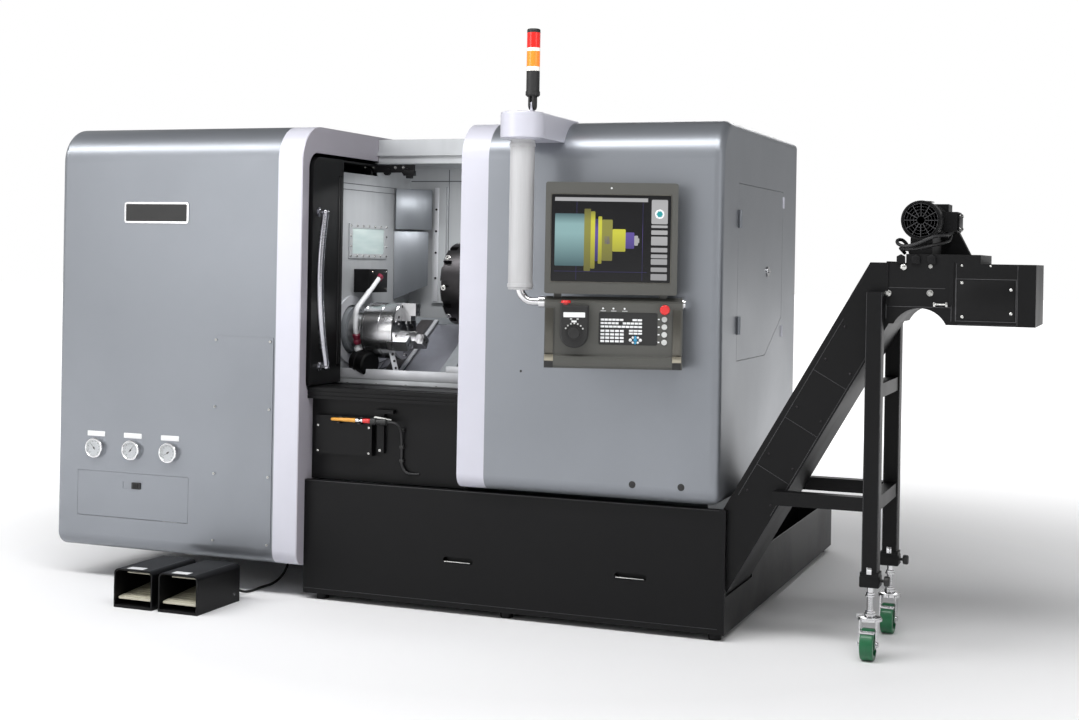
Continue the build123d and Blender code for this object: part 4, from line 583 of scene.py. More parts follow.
def swung(middle, turn, places):
    """Places along and beside a hand that is turned about a middle."""
    along = Vector((math.cos(turn), math.sin(turn)))
    beside = along.orthogonal()
    return [tuple(Vector(middle) + along * a + beside * b) for a, b in places]


def rounded(low, high, radius, steps=5):
    """A rectangle's outline with round corners."""
    outline = []
    for x, y, quarter in ((*high, 0), (low[0], high[1], 1), (*low, 2), (high[0], low[1], 3)):
        cx = x - radius if quarter in (0, 3) else x + radius
        cy = y - radius if quarter in (0, 1) else y + radius
        for step in range(steps + 1):
            turn = math.pi / 2 * (quarter + step / steps)
            outline.append((cx + radius * math.cos(turn), cy + radius * math.sin(turn)))
    return outline


# %% The mould
SHARP = math.radians(34)


def fit(piece, finish, body="machine"):
    """Finishes a piece and sets it on its body."""
    wear(piece, finish)
    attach(piece, body)
    return piece


class Mould:
    """Shapes on one face, in millimetres, that become one piece."""

    def __init__(self, on=Matrix()):
        self.mesh, self.on = bmesh.new(), on

    def point(self, x, y, z):
        """A corner, from its place on the face."""
        return self.mesh.verts.new(self.on @ Vector((x, y, z)))

    def shell(self, rings, closed=True):
        """Skins a stack of rings of equal count, with flat ends if closed."""
        count = len(rings[0])
        made = [
            self.mesh.faces.new((low[i], low[(i + 1) % count], high[(i + 1) % count], high[i]))
            for low, high in zip(rings, rings[1:]) for i in range(count)
        ]
        if closed:
            made += [self.mesh.faces.new(rings[0][::-1]), self.mesh.faces.new(rings[-1])]
        return made

    def slab(self, outline, low, high, edge=0.0):
        """A plate with that outline between two heights, its edges rounded over."""
        made = self.shell([[self.point(x, y, z) for x, y in outline] for z in (low, high)])
        if edge:
            edges = list({e for f in made for e in f.edges})
            bmesh.ops.bevel(self.mesh, geom=edges, offset=edge, segments=2, profile=0.5,
                            affect="EDGES")
        return self

    def bar(self, low, high, edge=0.5):
        """A slab between two corners."""
        outline = [(low[0], low[1]), (high[0], low[1]), (high[0], high[1]), (low[0], high[1])]
        return self.slab(outline, low[2], high[2], edge)

    def bars(self, boxes, low, high, edge=0.5):
        """Bars between two heights, from their left, bottom, right and top on the face."""
        for left, bottom, right, top in boxes:
            self.bar((left, bottom, low), (right, top, high), edge)
        return self

    def ring(self, outer, inner, low, high):
        """A flat frame between two outlines of equal count."""
        loops = [(outer, low), (outer, high), (inner, high), (inner, low), (outer, low)]
        rings = [[self.point(x, y, z) for x, y in loop] for loop, z in loops]
        self.shell(rings, closed=False)
        return self

    def turned(self, profile, foot=(0, 0, 0), axis=(0, 0, 1), steps=32):
        """A turned shape from pairs of radius and height along an axis."""
        aim = Matrix.Translation(foot) @ Vector(axis).to_track_quat("Z", "Y").to_matrix().to_4x4()
        rings = [
            [self.point(*(aim @ Vector((*spot, h)))) for spot in around((0, 0), r, steps)]
            for r, h in profile
        ]
        self.shell(rings)
        return self

    def cap_screws(self, places, radius, height=0.0):
        """Socket head cap screws with their hexagons, at places on the face."""
        shape = [(1, 0), (1, 0.75), (0.9, 0.88), (0.5, 0.88), (0.45, 0.3)]
        head = [(radius * r, radius * h) for r, h in shape]
        for x, y in places:
            self.turned(head, (x, y, height), steps=18)
        return self

    def hexagon(self, foot, radius, height, axis=(0, 0, 1)):
        """A hexagon head on its washer."""
        self.turned([(1.25 * radius, 0), (1.25 * radius, 0.25 * height)], foot, axis, 24)
        crown = [(radius, 0.2 * height), (radius, 0.85 * height), (0.82 * radius, height)]
        return self.turned(crown, foot, axis, 6)

    def dome(self, foot, radius, height, axis=(0, 0, 1)):
        """A round head or a rivet."""
        curve = [(radius * math.cos(t), height * math.sin(t)) for t in (0, 0.35, 0.7, 1.05, 1.4)]
        return self.turned(curve, foot, axis, 20)

    def become(self, name, finish, body="machine", slot=None):
        """Casts what was gathered as one piece that rides on a body."""
        bmesh.ops.remove_doubles(self.mesh, verts=self.mesh.verts, dist=1e-5)
        bmesh.ops.recalc_face_normals(self.mesh, faces=self.mesh.faces)
        bmesh.ops.scale(self.mesh, vec=(MM, MM, MM), verts=self.mesh.verts)
        data = bpy.data.meshes.new(name)
        self.mesh.to_mesh(data)
        self.mesh.free()
        data.shade_smooth()
        data.set_sharp_from_angle(angle=SHARP)
        piece = bpy.data.objects.new(name, data)
        bpy.context.scene.collection.objects.link(piece)
        return fit(piece, finish, body)


def round_bar(name, route, diameter, finish, body="machine"):
    """A round bar or lead along points in millimetres."""
    line = bent_line(name, [[c * MM for c in point] for point in route], diameter * MM)
    return fit(line, finish, body)


def free_lead(name, route, diameter):
    """A slack lead along points in millimetres."""
    lead = round_bar(name, route, diameter, lead_rubber)


# %% [markdown]
# ## Left housing
#
# The big grey shell carries a blank plate, three gauges with a small blank tag over each, a
# screwed service panel and a flap. The gauges matter most, since white dials catch the eye:
# each gets a printed scale, a needle on a hub and a glass. The slot of the flap's latch has
# a red mark on its floor, which the latch covers when it slides across.

# %% Plate, gauges and panel screws
HOUSING = front(-767.5)
GAUGE_X, GAUGE_Z, MARKS = (-1594.5, -1431.5, -1268.5), 497.0, 28
NEEDLE_TURNS = (2.3, 0.9, 3.7)
PLATE, FIELD = ((-1484, 1342), (-1204, 1420)), ((-1477, 1349), (-1211, 1413))

rim = Mould(HOUSING).ring(rounded(*PLATE, 9), rounded(*FIELD, 5), 0, 3.2)
rim.become("blank_plate_rim", chrome)
Mould(HOUSING).slab(rounded(*FIELD, 5), 0, 2.2).become("blank_plate", black_plastic)

dials, scales, tags, glasses, bezels = (Mould(HOUSING) for _ in range(5))
for x, turn in zip(GAUGE_X, NEEDLE_TURNS):
    hub = (x, GAUGE_Z)
    foot = (*hub, 0)
    dials.turned([(30.6, 13.9), (30.6, 14.3)], foot, steps=40)
    bezels.turned([(36.6, 11.0), (37.6, 13.5), (37.6, 17.0), (36.0, 19.0), (33.0, 19.2),
                   (31.4, 17.6), (31.4, 14.2)], foot, steps=48)
    for mark in range(MARKS):
        near, half = (21.5, 0.55) if mark % 3 == 0 else (24.5, 0.3)
        corners = ((near, -half), (28, -half), (28, half), (near, half))
        scales.slab(swung(hub, math.radians(10 * mark - 45), corners), 14.2, 14.5)
    scales.slab(swung(hub, turn, ((-8, -1.6), (25, 0), (-8, 1.6))), 15.0, 15.6)
    scales.turned([(3.4, 14.2), (3.4, 16.0), (2.0, 16.8)], foot, steps=20)
    tags.slab(rounded((x - 39, 540), (x + 39, 559), 2), 0, 1.6, 0.3)
    glasses.turned([(31.3, 17.2), (31.3, 17.8)], foot, steps=40)
dials.become("gauge_dials", white_plastic, slot="gauge")
scales.become("gauge_scales", black_plastic, slot="gauge")
bezels.become("gauge_bezels", chrome, slot="gauge")
tags.become("gauge_tags", white_plastic)
glasses.become("gauge_glasses", dial_glass, slot="gauge")

panel_rows = [190 + 243.33 * row for row in range(4)]
panel_screws = Mould(front(-772.5)).cap_screws(grid((-1075.5, -849.5), panel_rows), 4.4, -0.4)
panel_screws.become("service_panel_screws", bolt_steel)
latch_mark = rounded((-1462, 354), (-1436, 374), 2)
Mould(HOUSING).slab(latch_mark, -2.1, -1.75, 0.1).become("flap_latch_tag", red_plastic, "flap")
plugs = Mould(HOUSING)
for x, z, radius, height in ((518.5, 499, 12, 2.6), (684.5, 501, 12, 2.6), (118.5, 855, 4.5, 1.0)):
    plugs.dome((x, z, -0.2), radius, height)
plugs.become("housing_plugs", black_plastic)
print("gauges at", GAUGE_X)

# %% [markdown]
# ## Door
#
# The door stands open inside the left housing, so only its black closing post and its
# handle show. Two rubber lips run down the post and a gasket holds the pane. Over the
# chamber wall the guide arm ends in a bar with bright bolts and a black stop. The grip bows
# out between two roses, and a parabola through its foot, bow and head gives its line.

# %% Door seals, gasket, guide and grip
DOOR_POST, GUIDE_ARM = right_side(-718.5), front(-207.5)
GRIP_FOOT, GRIP_BOW, GRIP_HEAD = (-647.5, 829), (-703.5, 1109.5), (-671.5, 1390)

lip_boxes = [(y - 2.2, 832, y + 2.2, 1524) for y in (-500.5, -516.5)]
lips = Mould(DOOR_POST).bars(lip_boxes, -5.5, 3.0, 1.0)
lips.become("door_lips", lead_rubber, "door", "black_plastic")
gasket = Mould(front(-712.5)).ring(rounded((-1313.5, 975), (-828.5, 1480), 36),
                                   rounded((-1303.5, 985), (-838.5, 1470), 28), -0.5, 4.5)
gasket.become("door_gasket", lead_rubber, "door", "black_plastic")
guide_places = grid((-770, -735, -640, -606), (1579,))
Mould(GUIDE_ARM).cap_screws(guide_places, 6.5).become("door_guide_bolts", bolt_steel, "door")
stop = Mould(GUIDE_ARM).bar((-600, 1546, 0.5), (-553, 1566, 18), 2.0)
stop.bar((-590, 1536, 3), (-563, 1547, 15), 1.5).become("door_guide_stop", black_coat, "door")
roses = Mould(DOOR_POST)
for end in (GRIP_FOOT, GRIP_HEAD):
    roses.turned([(17, 0), (17, 3), (13, 5), (10, 7)], (*end, 0), steps=28)
roses.become("door_handle_roses", handle_metal, "door")


def grip_depth(height):
    """How far back the grip's centre line lies at a height, on a parabola."""
    share = (height - GRIP_FOOT[1]) / (GRIP_HEAD[1] - GRIP_FOOT[1])
    straight = GRIP_FOOT[0] + share * (GRIP_HEAD[0] - GRIP_FOOT[0])
    sag = GRIP_BOW[0] - (GRIP_FOOT[0] + GRIP_HEAD[0]) / 2
    return straight + 4 * sag * share * (1 - share)


grip_heights = [838 + 54.3 * i for i in range(11)]
grip_line = [(-688.5, grip_depth(height), height) for height in grip_heights]
round_bar("door_grip", grip_line, 26, handle_metal, "door")
print("grip bows out", round(GRIP_FOOT[0] - GRIP_BOW[0]), "mm")

# %% [markdown]
# ## Inside the chamber
#
# Behind the door everything is folded sheet, screwed together and sealed along its joints.
# The folds and joints carry the picture here, so each is real: a lamp window in its screwed
# frame, a splash plate that leans from the end wall to the back, a strip with four screws,
# the wiper band on the slanted cover with its bright rail, and the bright front ledge.

# %% Sheet work of the chamber
CHAMBER_BACK, WALL_X = 132.5, -740.5
splash_sheet = lined("splash_sheet", (0.20, 0.215, 0.235), 0.34, 0.5)
bright_sheet = lined("bright_sheet", (0.62, 0.63, 0.66), 0.30, 0.35)

splash = Mould(face((0.766, 0.643, 0), (0, 0, 1), (WALL_X, -12, 0)))
splash.slab([(1, 1338), (142, 1338), (142, 1120), (1, 1062)], 0, 3, 0.5)
splash.slab([(1, 1344), (150, 1344), (150, 1506), (1, 1506)], 4, 24, 1.5)
splash.become("splash_plate", splash_sheet, slot="sheet_steel")
strip = Mould(front(CHAMBER_BACK - 14)).bar((-622, 1056, 0), (-604, 1516, 3.2), 0.8)
strip.become("joint_strip", bright_sheet)
SEAM_FEET = ((-566, 1090), (-430, 1150), (-300, 1220), (-170, 1290))
seam_boxes = [(x - 1.6, low, x + 1.6, 1590) for x, low in SEAM_FEET] + [(-736, 1541, -120, 1545)]
seams = Mould(front(CHAMBER_BACK)).bars(seam_boxes, 0, 1.4, 0.4)
seams.become("wall_seams", dark_paint, slot="sheet_steel")
wall_folds = Mould(right_side(WALL_X))
wall_folds.bars([(-452, z - 1.4, 8, z + 1.4) for z in (1485.0, 1508.0)], 0, 1.2, 0.4)
wall_folds.become("wall_folds", dark_paint, slot="sheet_steel")

window_rows = grid([-389 + 49.3 * i for i in range(7)], (1234, 1349))
window_places = window_rows + grid((-389.5, -93.5), (1272, 1311))
Mould(right_side(WALL_X + 6)).cap_screws(window_places, 4.2).become("lamp_window_bolts", bolt_steel)
strip_places = grid((-613,), (1428, 1340, 1253, 1150))
strip_screws = Mould(front(CHAMBER_BACK - 17.2)).cap_screws(strip_places, 4.6)
strip_screws.become("joint_strip_screws", dark_steel)
lamp_glow = Finish("lamp_pane", (0.50, 0.58, 0.58), 0.12, Emission_Strength=0.04)
cloudy, clear = (0.36, 0.45, 0.45), (0.52, 0.60, 0.58)
frost = lamp_glow.ramp(lamp_glow.grain(5.0, (1, 1, 6)), (0.3, cloudy), (0.8, clear))
lamp_glow.feed(Base_Color=frost, Emission_Color=frost)
lamp_pane = Mould(right_side(WALL_X + 2)).slab(rounded((-373, 1243), (-110, 1340), 6), 0.2, 1.6)
lamp_pane.become("lamp_pane", lamp_glow, slot="window")
print(len(window_places), "bolts hold the lamp window")

# %% [markdown]
# The slanted cover under the turret is dark where the wiper band runs and has a bright rail
# beside it. Further down, the front ledge is a folded beam with a step at its right end.

# %% Slanted cover, ledge and bracket
COVER_W, LEDGE_FRONT = -165.0, -456.5
SLOPE = face((1, 0, 0), (0, math.cos(math.pi / 6), math.sin(math.pi / 6)), (0, -367.5, 955))
wiper_rubber = lined("wiper_rubber", (0.055, 0.05, 0.052), 0.45, 0.2)
band = Mould(SLOPE).bar((-622, -84, COVER_W - 2), (-572, 340, COVER_W + 3), 1.0)
band.become("wiper_band", wiper_rubber, slot="sheet_steel")
rail = Mould(SLOPE).bar((-563, -84, COVER_W - 2), (-547, 340, COVER_W + 6), 2.0)
rail.become("wiper_rail", bright_sheet, slot="steel")
fold_boxes = [(x - 1, -84, x + 1, 340) for x in (-571, -546, -717, -650)]
folds = Mould(SLOPE).bars(fold_boxes, COVER_W - 2, COVER_W + 0.9, 0.3)
for v in (-20, 52):
    corners = [(-700, v - 60), (-698, v - 61), (-626, v + 20), (-628, v + 21)]
    folds.slab(corners, COVER_W - 2, COVER_W + 0.9)
folds.become("cover_folds", dark_paint)
ledge = Mould(front(LEDGE_FRONT)).bar((-740, 778, 0), (-116, 814, 2.5), 0.8)
ledge.bar((-300, 812, -30), (-116, 836, 2.5), 1.5).become("front_ledge", bright_sheet)
apron = Mould(front(LEDGE_FRONT)).bar((-739, 737, 0), (-116, 774, 1.2), 0.4)
apron.become("ledge_apron", chamber_sheet)
ledge_places = grid((-700, -580, -460, -336, -210), (758,))
ledge_screws = Mould(front(LEDGE_FRONT - 1.2)).cap_screws(ledge_places, 5)
ledge_screws.become("ledge_screws", bolt_steel)
clip_boxes = [(-148, z, -118, z + 22) for z in (744, 801)]
clips = Mould(front(LEDGE_FRONT - 2.5)).bars(clip_boxes, 0, 12, 2.5)
clips.become("ledge_clips", black_plastic)
bracket_face = face((0.87, 0.49, 0), (0, 0, 1), (-530, -425, 0))
bracket = Mould(bracket_face).slab([(0, 812), (22, 806), (2, 884), (-16, 878)], 0, 5, 1.0)
bracket.become("wiper_bracket", bright_sheet, slot="steel")
bracket_bolts = Mould(bracket_face).cap_screws(((10, 820), (4, 846), (-3, 870)), 4.5, 5)
bracket_bolts.become("wiper_bracket_bolts", dark_steel)

# %% [markdown]
# ## Chuck, coolant pipe and turret
#
# The chuck spins on the spindle, so its screws ride with the spindle's body and the jaw
# screws with each jaw. The coolant pipe's block wears a black cover, and the pipe ends in a
# maroon union and a white nozzle. The turret has a ring of bright seats on its face and
# eight bright screws, driven in from the rim.

# %% Chuck and coolant pipe
SPINDLE, CHUCK_FACE = (-367.5, 955.0), right_side(-513.5)
PIPE_X, UNION_AXIS = -673.5, (0.0, 0.34, -0.94)

chuck_screws = Mould(CHUCK_FACE).cap_screws(around(SPINDLE, 86, 3, 30), 7.4, -11)
chuck_screws.become("chuck_screws", dark_steel, "spindle")
face_plugs = Mould(CHUCK_FACE)
for spot in around(SPINDLE, 72, 6, 12) + around(SPINDLE, 94, 6, 42):
    face_plugs.turned([(5.2, -0.5), (5.2, 0.6), (3.8, 0.9)], (*spot, 0), steps=18)
face_plugs.turned([(33, -30), (33, -28), (20, -26)], (*SPINDLE, 0))
face_plugs.become("chuck_face_plugs", dark_steel, "spindle")
rims = Mould(CHUCK_FACE)
for z in (-8, -128):
    lip = [(105.2, z), (106.3, z + 1), (106.3, z + 4), (105.2, z + 5)]
    rims.turned(lip, (*SPINDLE, 0), steps=64)
rims.become("chuck_rims", chrome, "spindle")
for jaw, turn in (("jaw_1", 90), ("jaw_2", 210), ("jaw_3", 330)):
    places = around(SPINDLE, 72, 1, turn) + around(SPINDLE, 92, 1, turn)
    Mould(CHUCK_FACE).cap_screws(places, 6.6, 41.5).become(f"{jaw}_screws", dark_steel, jaw)
flange = Mould(right_side(WALL_X + 0.5))
flange.ring(around(SPINDLE, 128, 48), around(SPINDLE, 93, 48), 0, 6)
flange.become("spindle_flange", bright_sheet, slot="steel")

cover = Mould(right_side(-676.5)).bar((-349.5, 1095.5, -63.5), (-195.5, 1184.5, 2.5), 2.0)
cover.become("coolant_block_cover", black_coat)
cover_places = grid((-325, -210), (1173, 1107))
Mould(right_side(-674)).cap_screws(cover_places, 4).become("coolant_block_screws", bolt_steel)
UNION = [(12, -4), (16, 0), (16, 12), (13.5, 14), (13.5, 20), (16, 22), (16, 34), (11, 40)]
NOZZLE = [(15.6, 0), (16.2, 4), (16.2, 20), (14, 26), (9, 30)]
union = Mould().turned(UNION, (PIPE_X, -446.5, 941), UNION_AXIS)
union.turned([(14, 0), (14, 16), (11, 18)], (PIPE_X, -261, 1157), (0, -0.83, -0.55))
union.become("coolant_unions", maroon_plastic, slot="red_plastic")
nozzle = Mould().turned(NOZZLE, (PIPE_X, -429.5, 893), UNION_AXIS)
nozzle.become("coolant_nozzle", white_plastic)

# %% Sensor and turret
SENSOR_PARTS = (
    ("sensor_housing", black_coat, [(40, 0), (46, 3), (46, 70), (42, 74), (38, 76)]),
    ("sensor_strap", dark_steel, [(47, 20), (48.5, 21), (48.5, 33), (47, 34)]),
)
for name, finish, profile in SENSOR_PARTS:
    part = Mould(face((0, -1, 0), (0, 0, 1), (-700, -412, 0)))
    part.turned(profile, (0, 838, -14), (0.35, -0.1, -0.9), 40).become(name, finish)

TURRET, TURRET_RADIUS, TURRET_FACE = (-60.9, 1132.0), 158.0, right_side(-446.5)
BOLT_DEPTH, BOLT_PLANE = 8, 22
seats, bolts = Mould(TURRET_FACE), Mould(TURRET_FACE)
for spot in around(TURRET, 112, 12):
    seats.turned([(9, 0.5), (9, -2.2), (6, -3.4)], (*spot, 0), steps=20)
for spot in around((0, 0), 1, 8, 50):
    out = Vector((*spot, 0))
    foot = Vector((*TURRET, BOLT_PLANE)) + out * (TURRET_RADIUS - BOLT_DEPTH)
    bolts.turned([(11, 0), (11, 9), (9.5, 10.5), (4.5, 10.5), (4.0, 6)], foot, out, 24)
bolts.become("turret_bolts", bolt_steel, "turret")
seats.become("turret_seats", bolt_steel, "turret")
hub = Mould(TURRET_FACE)
hub.turned([(40, -4), (40, -7), (30, -9), (12, -9), (10, -5)], (*TURRET, 0), steps=40)
hub.become("turret_hub", dark_steel, "turret")
print("chamber is fitted")

# %% [markdown]
# ## Wash gun and sill
#
# Under the door the black recess holds a wash gun: an amber lance, a bright nut, a small
# red grip and a black valve, clipped to the box. Its hose leaves the panel, is led up it by
# three clips and ends in the valve.

# %% The wash gun
GUN, BOX_FRONT, RECESS_FRONT = (-706.0, 649.0), front(-695.5), front(-667.5)
GUN_PARTS = (
    ("wash_gun_lance", copper_plastic, "pale_plastic", -633,
     [(3.5, 0), (5.5, 3), (7.5, 96), (6.0, 100)]),
    ("wash_gun_nut", chrome, None, -533,
     [(8.5, 0), (9.5, 2), (9.5, 12), (5, 16), (5, 21), (8, 22), (8, 27)]),
    ("wash_gun_grip", red_plastic, None, -506, [(6, 0), (8.5, 3), (8.5, 26), (7, 30)]),
    ("wash_gun_valve", black_plastic, None, -476,
     [(8, 0), (13, 3), (13, 22), (9, 25), (9, 40), (12, 42), (12, 62), (7, 66)]),
)
gun = {
    name: Mould().turned(profile, (x, *GUN), (1, 0, 0), 24).become(name, finish, slot=slot)
    for name, finish, slot, x, profile in GUN_PARTS
}
gun_clips = Mould(BOX_FRONT)
for x in (-600, -516):
    gun_clips.bar((x - 6, 636, -0.5), (x + 6, 661, 3), 0.8)
    gun_clips.bar((x - 6, 636, 2), (x + 6, 640, 20), 0.8)
gun_clips.bar((-452, 640, -14), (-438, 660, 2), 1.0).become("wash_gun_clips", dark_steel)
lever = Mould(front(GUN[0])).slab([(-462, 662), (-458, 668), (-392, 661), (-392, 656)], -4, 4, 1.0)
lever.become("wash_gun_lever", bolt_steel)
HOSE_ROUTE = [
    (-300, -668, 468), (-330, -677, 466), (-352, -677, 474), (-366, -677, 500), (-366, -675, 520),
    (-366, -677, 596), (-366, -690, 630), (-374, -704, 646), (-392, -706, 649), (-412, -706, 649),
]
free_lead("wash_hose", HOSE_ROUTE, 9)
clips = Mould(RECESS_FRONT).bars([(-374, z - 5, -358, z + 5) for z in (620, 560, 512)], 0, 13, 1.5)
clips.become("wash_pipe_clips", black_plastic)
box_screws = Mould(BOX_FRONT).cap_screws(grid((-690, -486), (533, 624)), 4)
box_screws.cap_screws(grid((-448.5,), (545, 650)), 5, -14).become("wash_box_screws", bolt_steel)
print("wash gun has", len(GUN_PARTS), "turned parts and a hose")

# %% [markdown]
# ## The screen
#
# A lit screen is the brightest colour on the machine. The picture on ours is our own: a
# turned shaft seen from the side, drawn in flat bands that shade from bright to dark like a
# rendered cylinder, with a bar of greys above and a column of soft keys on the right. Every
# tile is a thin plate on the glass that glows a little, so its colour survives dim light.

# %% The picture on the screen
MAST = (186.5, -957.5, 0)
CONSOLE = face((math.cos(math.radians(19)), math.sin(math.radians(19)), 0), (0, 0, 1), MAST)
GLASS, SHAFT_Z = 50.0, 1298.0


def lit(name, bright, dark, half=0.1):
    """A glowing tile, brightest above its middle and dark at top and bottom."""
    tile = Finish(name, (0.01, 0.01, 0.01), 0.3, Emission_Strength=0.75)
    spot = (tile.along(2) - SHAFT_Z * MM) / (2 * half) + 0.5
    color = tile.ramp(spot, (0.0, dark), (0.62, bright), (0.8, bright), (1.0, dark))
    return tile.feed(Emission_Color=color)


teal_lit = lit("screen_teal", (0.33, 0.56, 0.57), (0.06, 0.14, 0.16), 0.085)
yellow_lit = lit("screen_yellow", (0.80, 0.78, 0.05), (0.22, 0.20, 0.02))
olive_lit = lit("screen_olive", (0.34, 0.33, 0.05), (0.16, 0.15, 0.02))
purple_lit = lit("screen_purple", (0.13, 0.08, 0.42), (0.03, 0.02, 0.16), 0.06)
grey_lit = lit("screen_grey", (0.55, 0.55, 0.56), (0.32, 0.32, 0.33), 0.2)
cyan_lit = lit("screen_cyan", (0.02, 0.45, 0.48), (0.02, 0.35, 0.4), 0.2)
black_screen = Finish("screen", (0.004, 0.004, 0.005), 0.12)
black_screen.feed(Roughness=black_screen.grit + black_screen.grain(9.0, detail=4.0) * 0.08)
wear(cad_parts["screen_glass"], black_screen)

TILES = (
    ("screen_sleeve", teal_lit, [(111, 1214, 205, 1382)]),
    ("screen_flange", olive_lit, [(205, 1198, 226, 1398), (262, 1232, 296, 1364)]),
    ("screen_steps", yellow_lit,
     [(226, 1206, 240, 1390), (250, 1222, 262, 1374), (296, 1262, 338, 1334)]),
    ("screen_grooves", purple_lit,
     [(240, 1230, 250, 1366), (338, 1272, 366, 1324), (270, 1286, 288, 1310)]),
    ("screen_tip", grey_lit, [(366, 1282, 378, 1314), (378, 1290, 382, 1306)]),
)
SOFT_KEYS = (
    (1340, 8), (1318, 14), (1284, 28), (1262, 14), (1243, 12), (1222, 18), (1199, 14), (1172, 20),
)
ICON = (446, 1384, 0)


def to_screen(mould, name, finish):
    """Casts a mould as a piece of the picture."""
    mould.become(name, finish, "monitor", "screen")


for name, finish, boxes in TILES:
    tiles = Mould(CONSOLE)
    for left, low, right, high in boxes:
        tiles.slab(rounded((left, low), (right, high), 3, 3), GLASS - 0.2, GLASS + 0.15)
    to_screen(tiles, name, finish)
keys = Mould(CONSOLE).bars([(110, 1422, 408, 1434)], GLASS - 0.2, GLASS + 0.2, 0)
for z, height in SOFT_KEYS:
    keys.slab(rounded((420, z), (472, z + height), 2, 2), GLASS - 0.2, GLASS + 0.25)
keys.slab(rounded((420, 1352), (472, 1430), 4, 3), GLASS - 0.2, GLASS + 0.2)
to_screen(keys, "screen_keys", grey_lit)
icon_ring = Mould(CONSOLE).turned([(15, 50), (15, 50.4), (14.5, 50.5)], ICON, steps=36)
to_screen(icon_ring, "screen_icon_ring", white_plastic)
icon = Mould(CONSOLE).turned([(10.5, 50.4), (10.5, 50.7)], ICON, steps=6)
to_screen(icon.turned([(4, 50.6), (4, 50.9)], ICON, steps=20), "screen_icon", cyan_lit)
line_boxes = [(110, 1196, 408, 1197), (180, 1170, 181, 1420), (392, 1170, 393, 1420)]
lines = Mould(CONSOLE).bars(line_boxes, GLASS - 0.2, GLASS + 0.05, 0)
to_screen(lines, "screen_lines", purple_lit)
print("screen shows", len(TILES) + 4, "layers")

# %% [markdown]
# ## Keys and console trim
#
# The key field sits in its shallow bed: rows of white keys, a number block, a blue and
# white arrow cluster. The console box has brushed posts that end in a bright clamp and a
# black foot, and the cross shaft carries a chrome clamp at each end.

# %% Key field
BED, PANEL, HAND_UNIT = 50.5, 51.8, 90.8
KEY_ROWS = (
    (1040, ((263, 337), (365, 397))), (1029, ((263, 322), (334, 397))), (1018, ((263, 397),)),
)
ROUND_KEYS = [(359, 979, 5.5), (391, 979, 5.5)]
ROUND_KEYS += [(x, z, 4) for x, z in grid((367, 383), (987, 971))]
brushed_post = machined("console_post", (0.13, 0.125, 0.11), 0.34, (1.0, 1.0, 12.0), 1e-5)
bronze = machined("console_clamp", (0.38, 0.35, 0.28), 0.3, (6.0, 6.0, 1.0), 1e-5)

field = Mould(CONSOLE).slab(rounded((257, 963), (445, 1067), 6), BED - 0.3, BED + 0.6)
field.become("key_field", black_plastic, "keyboard")
keys, blue_keys = Mould(CONSOLE), Mould(CONSOLE)
for z, spans in KEY_ROWS:
    for low, high in spans:
        count = round((high - low) / 13)
        pitch = (high - low) / count
        starts = [low + pitch * i for i in range(count)]
        keys.bars([(x, z, x + pitch - 1.6, z + 6.5) for x in starts], BED, BED + 2.2, 0.6)
number_block = grid([263 + 15.5 * i for i in range(5)], [971 + 11 * row for row in range(4)])
keys.bars([(x, z, x + 12.5, z + 7) for x, z in number_block], BED, BED + 2.4, 0.6)
small_keys = grid((354, 368.5, 383), (1006, 997))
keys.bars([(x, z, x + 13, z + 6) for x, z in small_keys], BED, BED + 2.2, 0.6)
for x, z, radius in ROUND_KEYS:
    keys.dome((x, z, BED), radius, 2.4)
for x, z, radius in ((375, 979, 6.5), (375, 989, 4), (375, 969, 4)):
    blue_keys.dome((x, z, BED), radius, 3.0)
keys.become("membrane_keys", white_plastic, "keyboard")
blue_plastic = moulded("blue_plastic", (0.03, 0.28, 0.48), 0.3, 1e-5)
blue_keys.become("arrow_keys", blue_plastic, "keyboard", "pale_plastic")

marks = Mould(CONSOLE)
for x in (270, 303, 339):
    marks.turned([(3.2, PANEL), (3.2, 53.4), (2.2, 54.2)], (x, 1079, 0), steps=18)
marks.bars([(x, 1070.6, x + 17, 1072) for x in (262, 296, 331)], PANEL, PANEL + 0.5, 0)
marks.slab(rounded((144, 1050), (213, 1066), 2), HAND_UNIT, HAND_UNIT + 0.6)
marks.bar((170, 1034, HAND_UNIT), (186, 1040, 92.4), 0.4)
marks.bars([(446, z - 2, 452, z + 2) for z in (1047, 1022.5, 998, 973.5)], PANEL, PANEL + 0.6, 0)
marks.become("console_marks", white_plastic, "keyboard")

# %% Posts, clamps and the hand unit
SEAM_BOXES = [
    (98, 1161, 484, 1163.6), (98, 1443.4, 484, 1446),
    (97, 1161, 99.6, 1446), (482.4, 1161, 485, 1446),
]
POST_PARTS = (
    ("console_posts", brushed_post, None, (1.5, 931, 55.5), (28.5, 1078, 57.6), 1.2),
    ("console_post_clamps", bronze, "steel", (0.5, 909, 50), (29.5, 929.5, 67.6), 1.5),
    ("console_post_feet", black_plastic, None, (0.5, 887, 50), (29.5, 908, 67.0), 2.0),
)
for name, finish, slot, low, high, edge in POST_PARTS:
    part = Mould(CONSOLE)
    for left in (83, 492):
        part.bar((left + low[0], *low[1:]), (left + high[0], *high[1:]), edge)
    part.become(name, finish, "keyboard", slot)
seam = Mould(CONSOLE).bars([(116, z, 490, z + 1) for z in (898, 918)], 65.6, 66.3, 0.2)
seam.bars(SEAM_BOXES, 51.6, 53).become("console_seams", brushed_post, "keyboard")
collars = Mould(CONSOLE)
for x in (60, 508):
    collars.turned([(20, 0), (21, 1), (21, 20), (20, 21)], (x, 1097, 0), (1, 0, 0), 36)
    collars.turned([(15, 20), (16, 21), (16, 27), (14, 28)], (x, 1097, 0), (1, 0, 0), 36)
collars.become("shaft_collars", chrome, "mast")
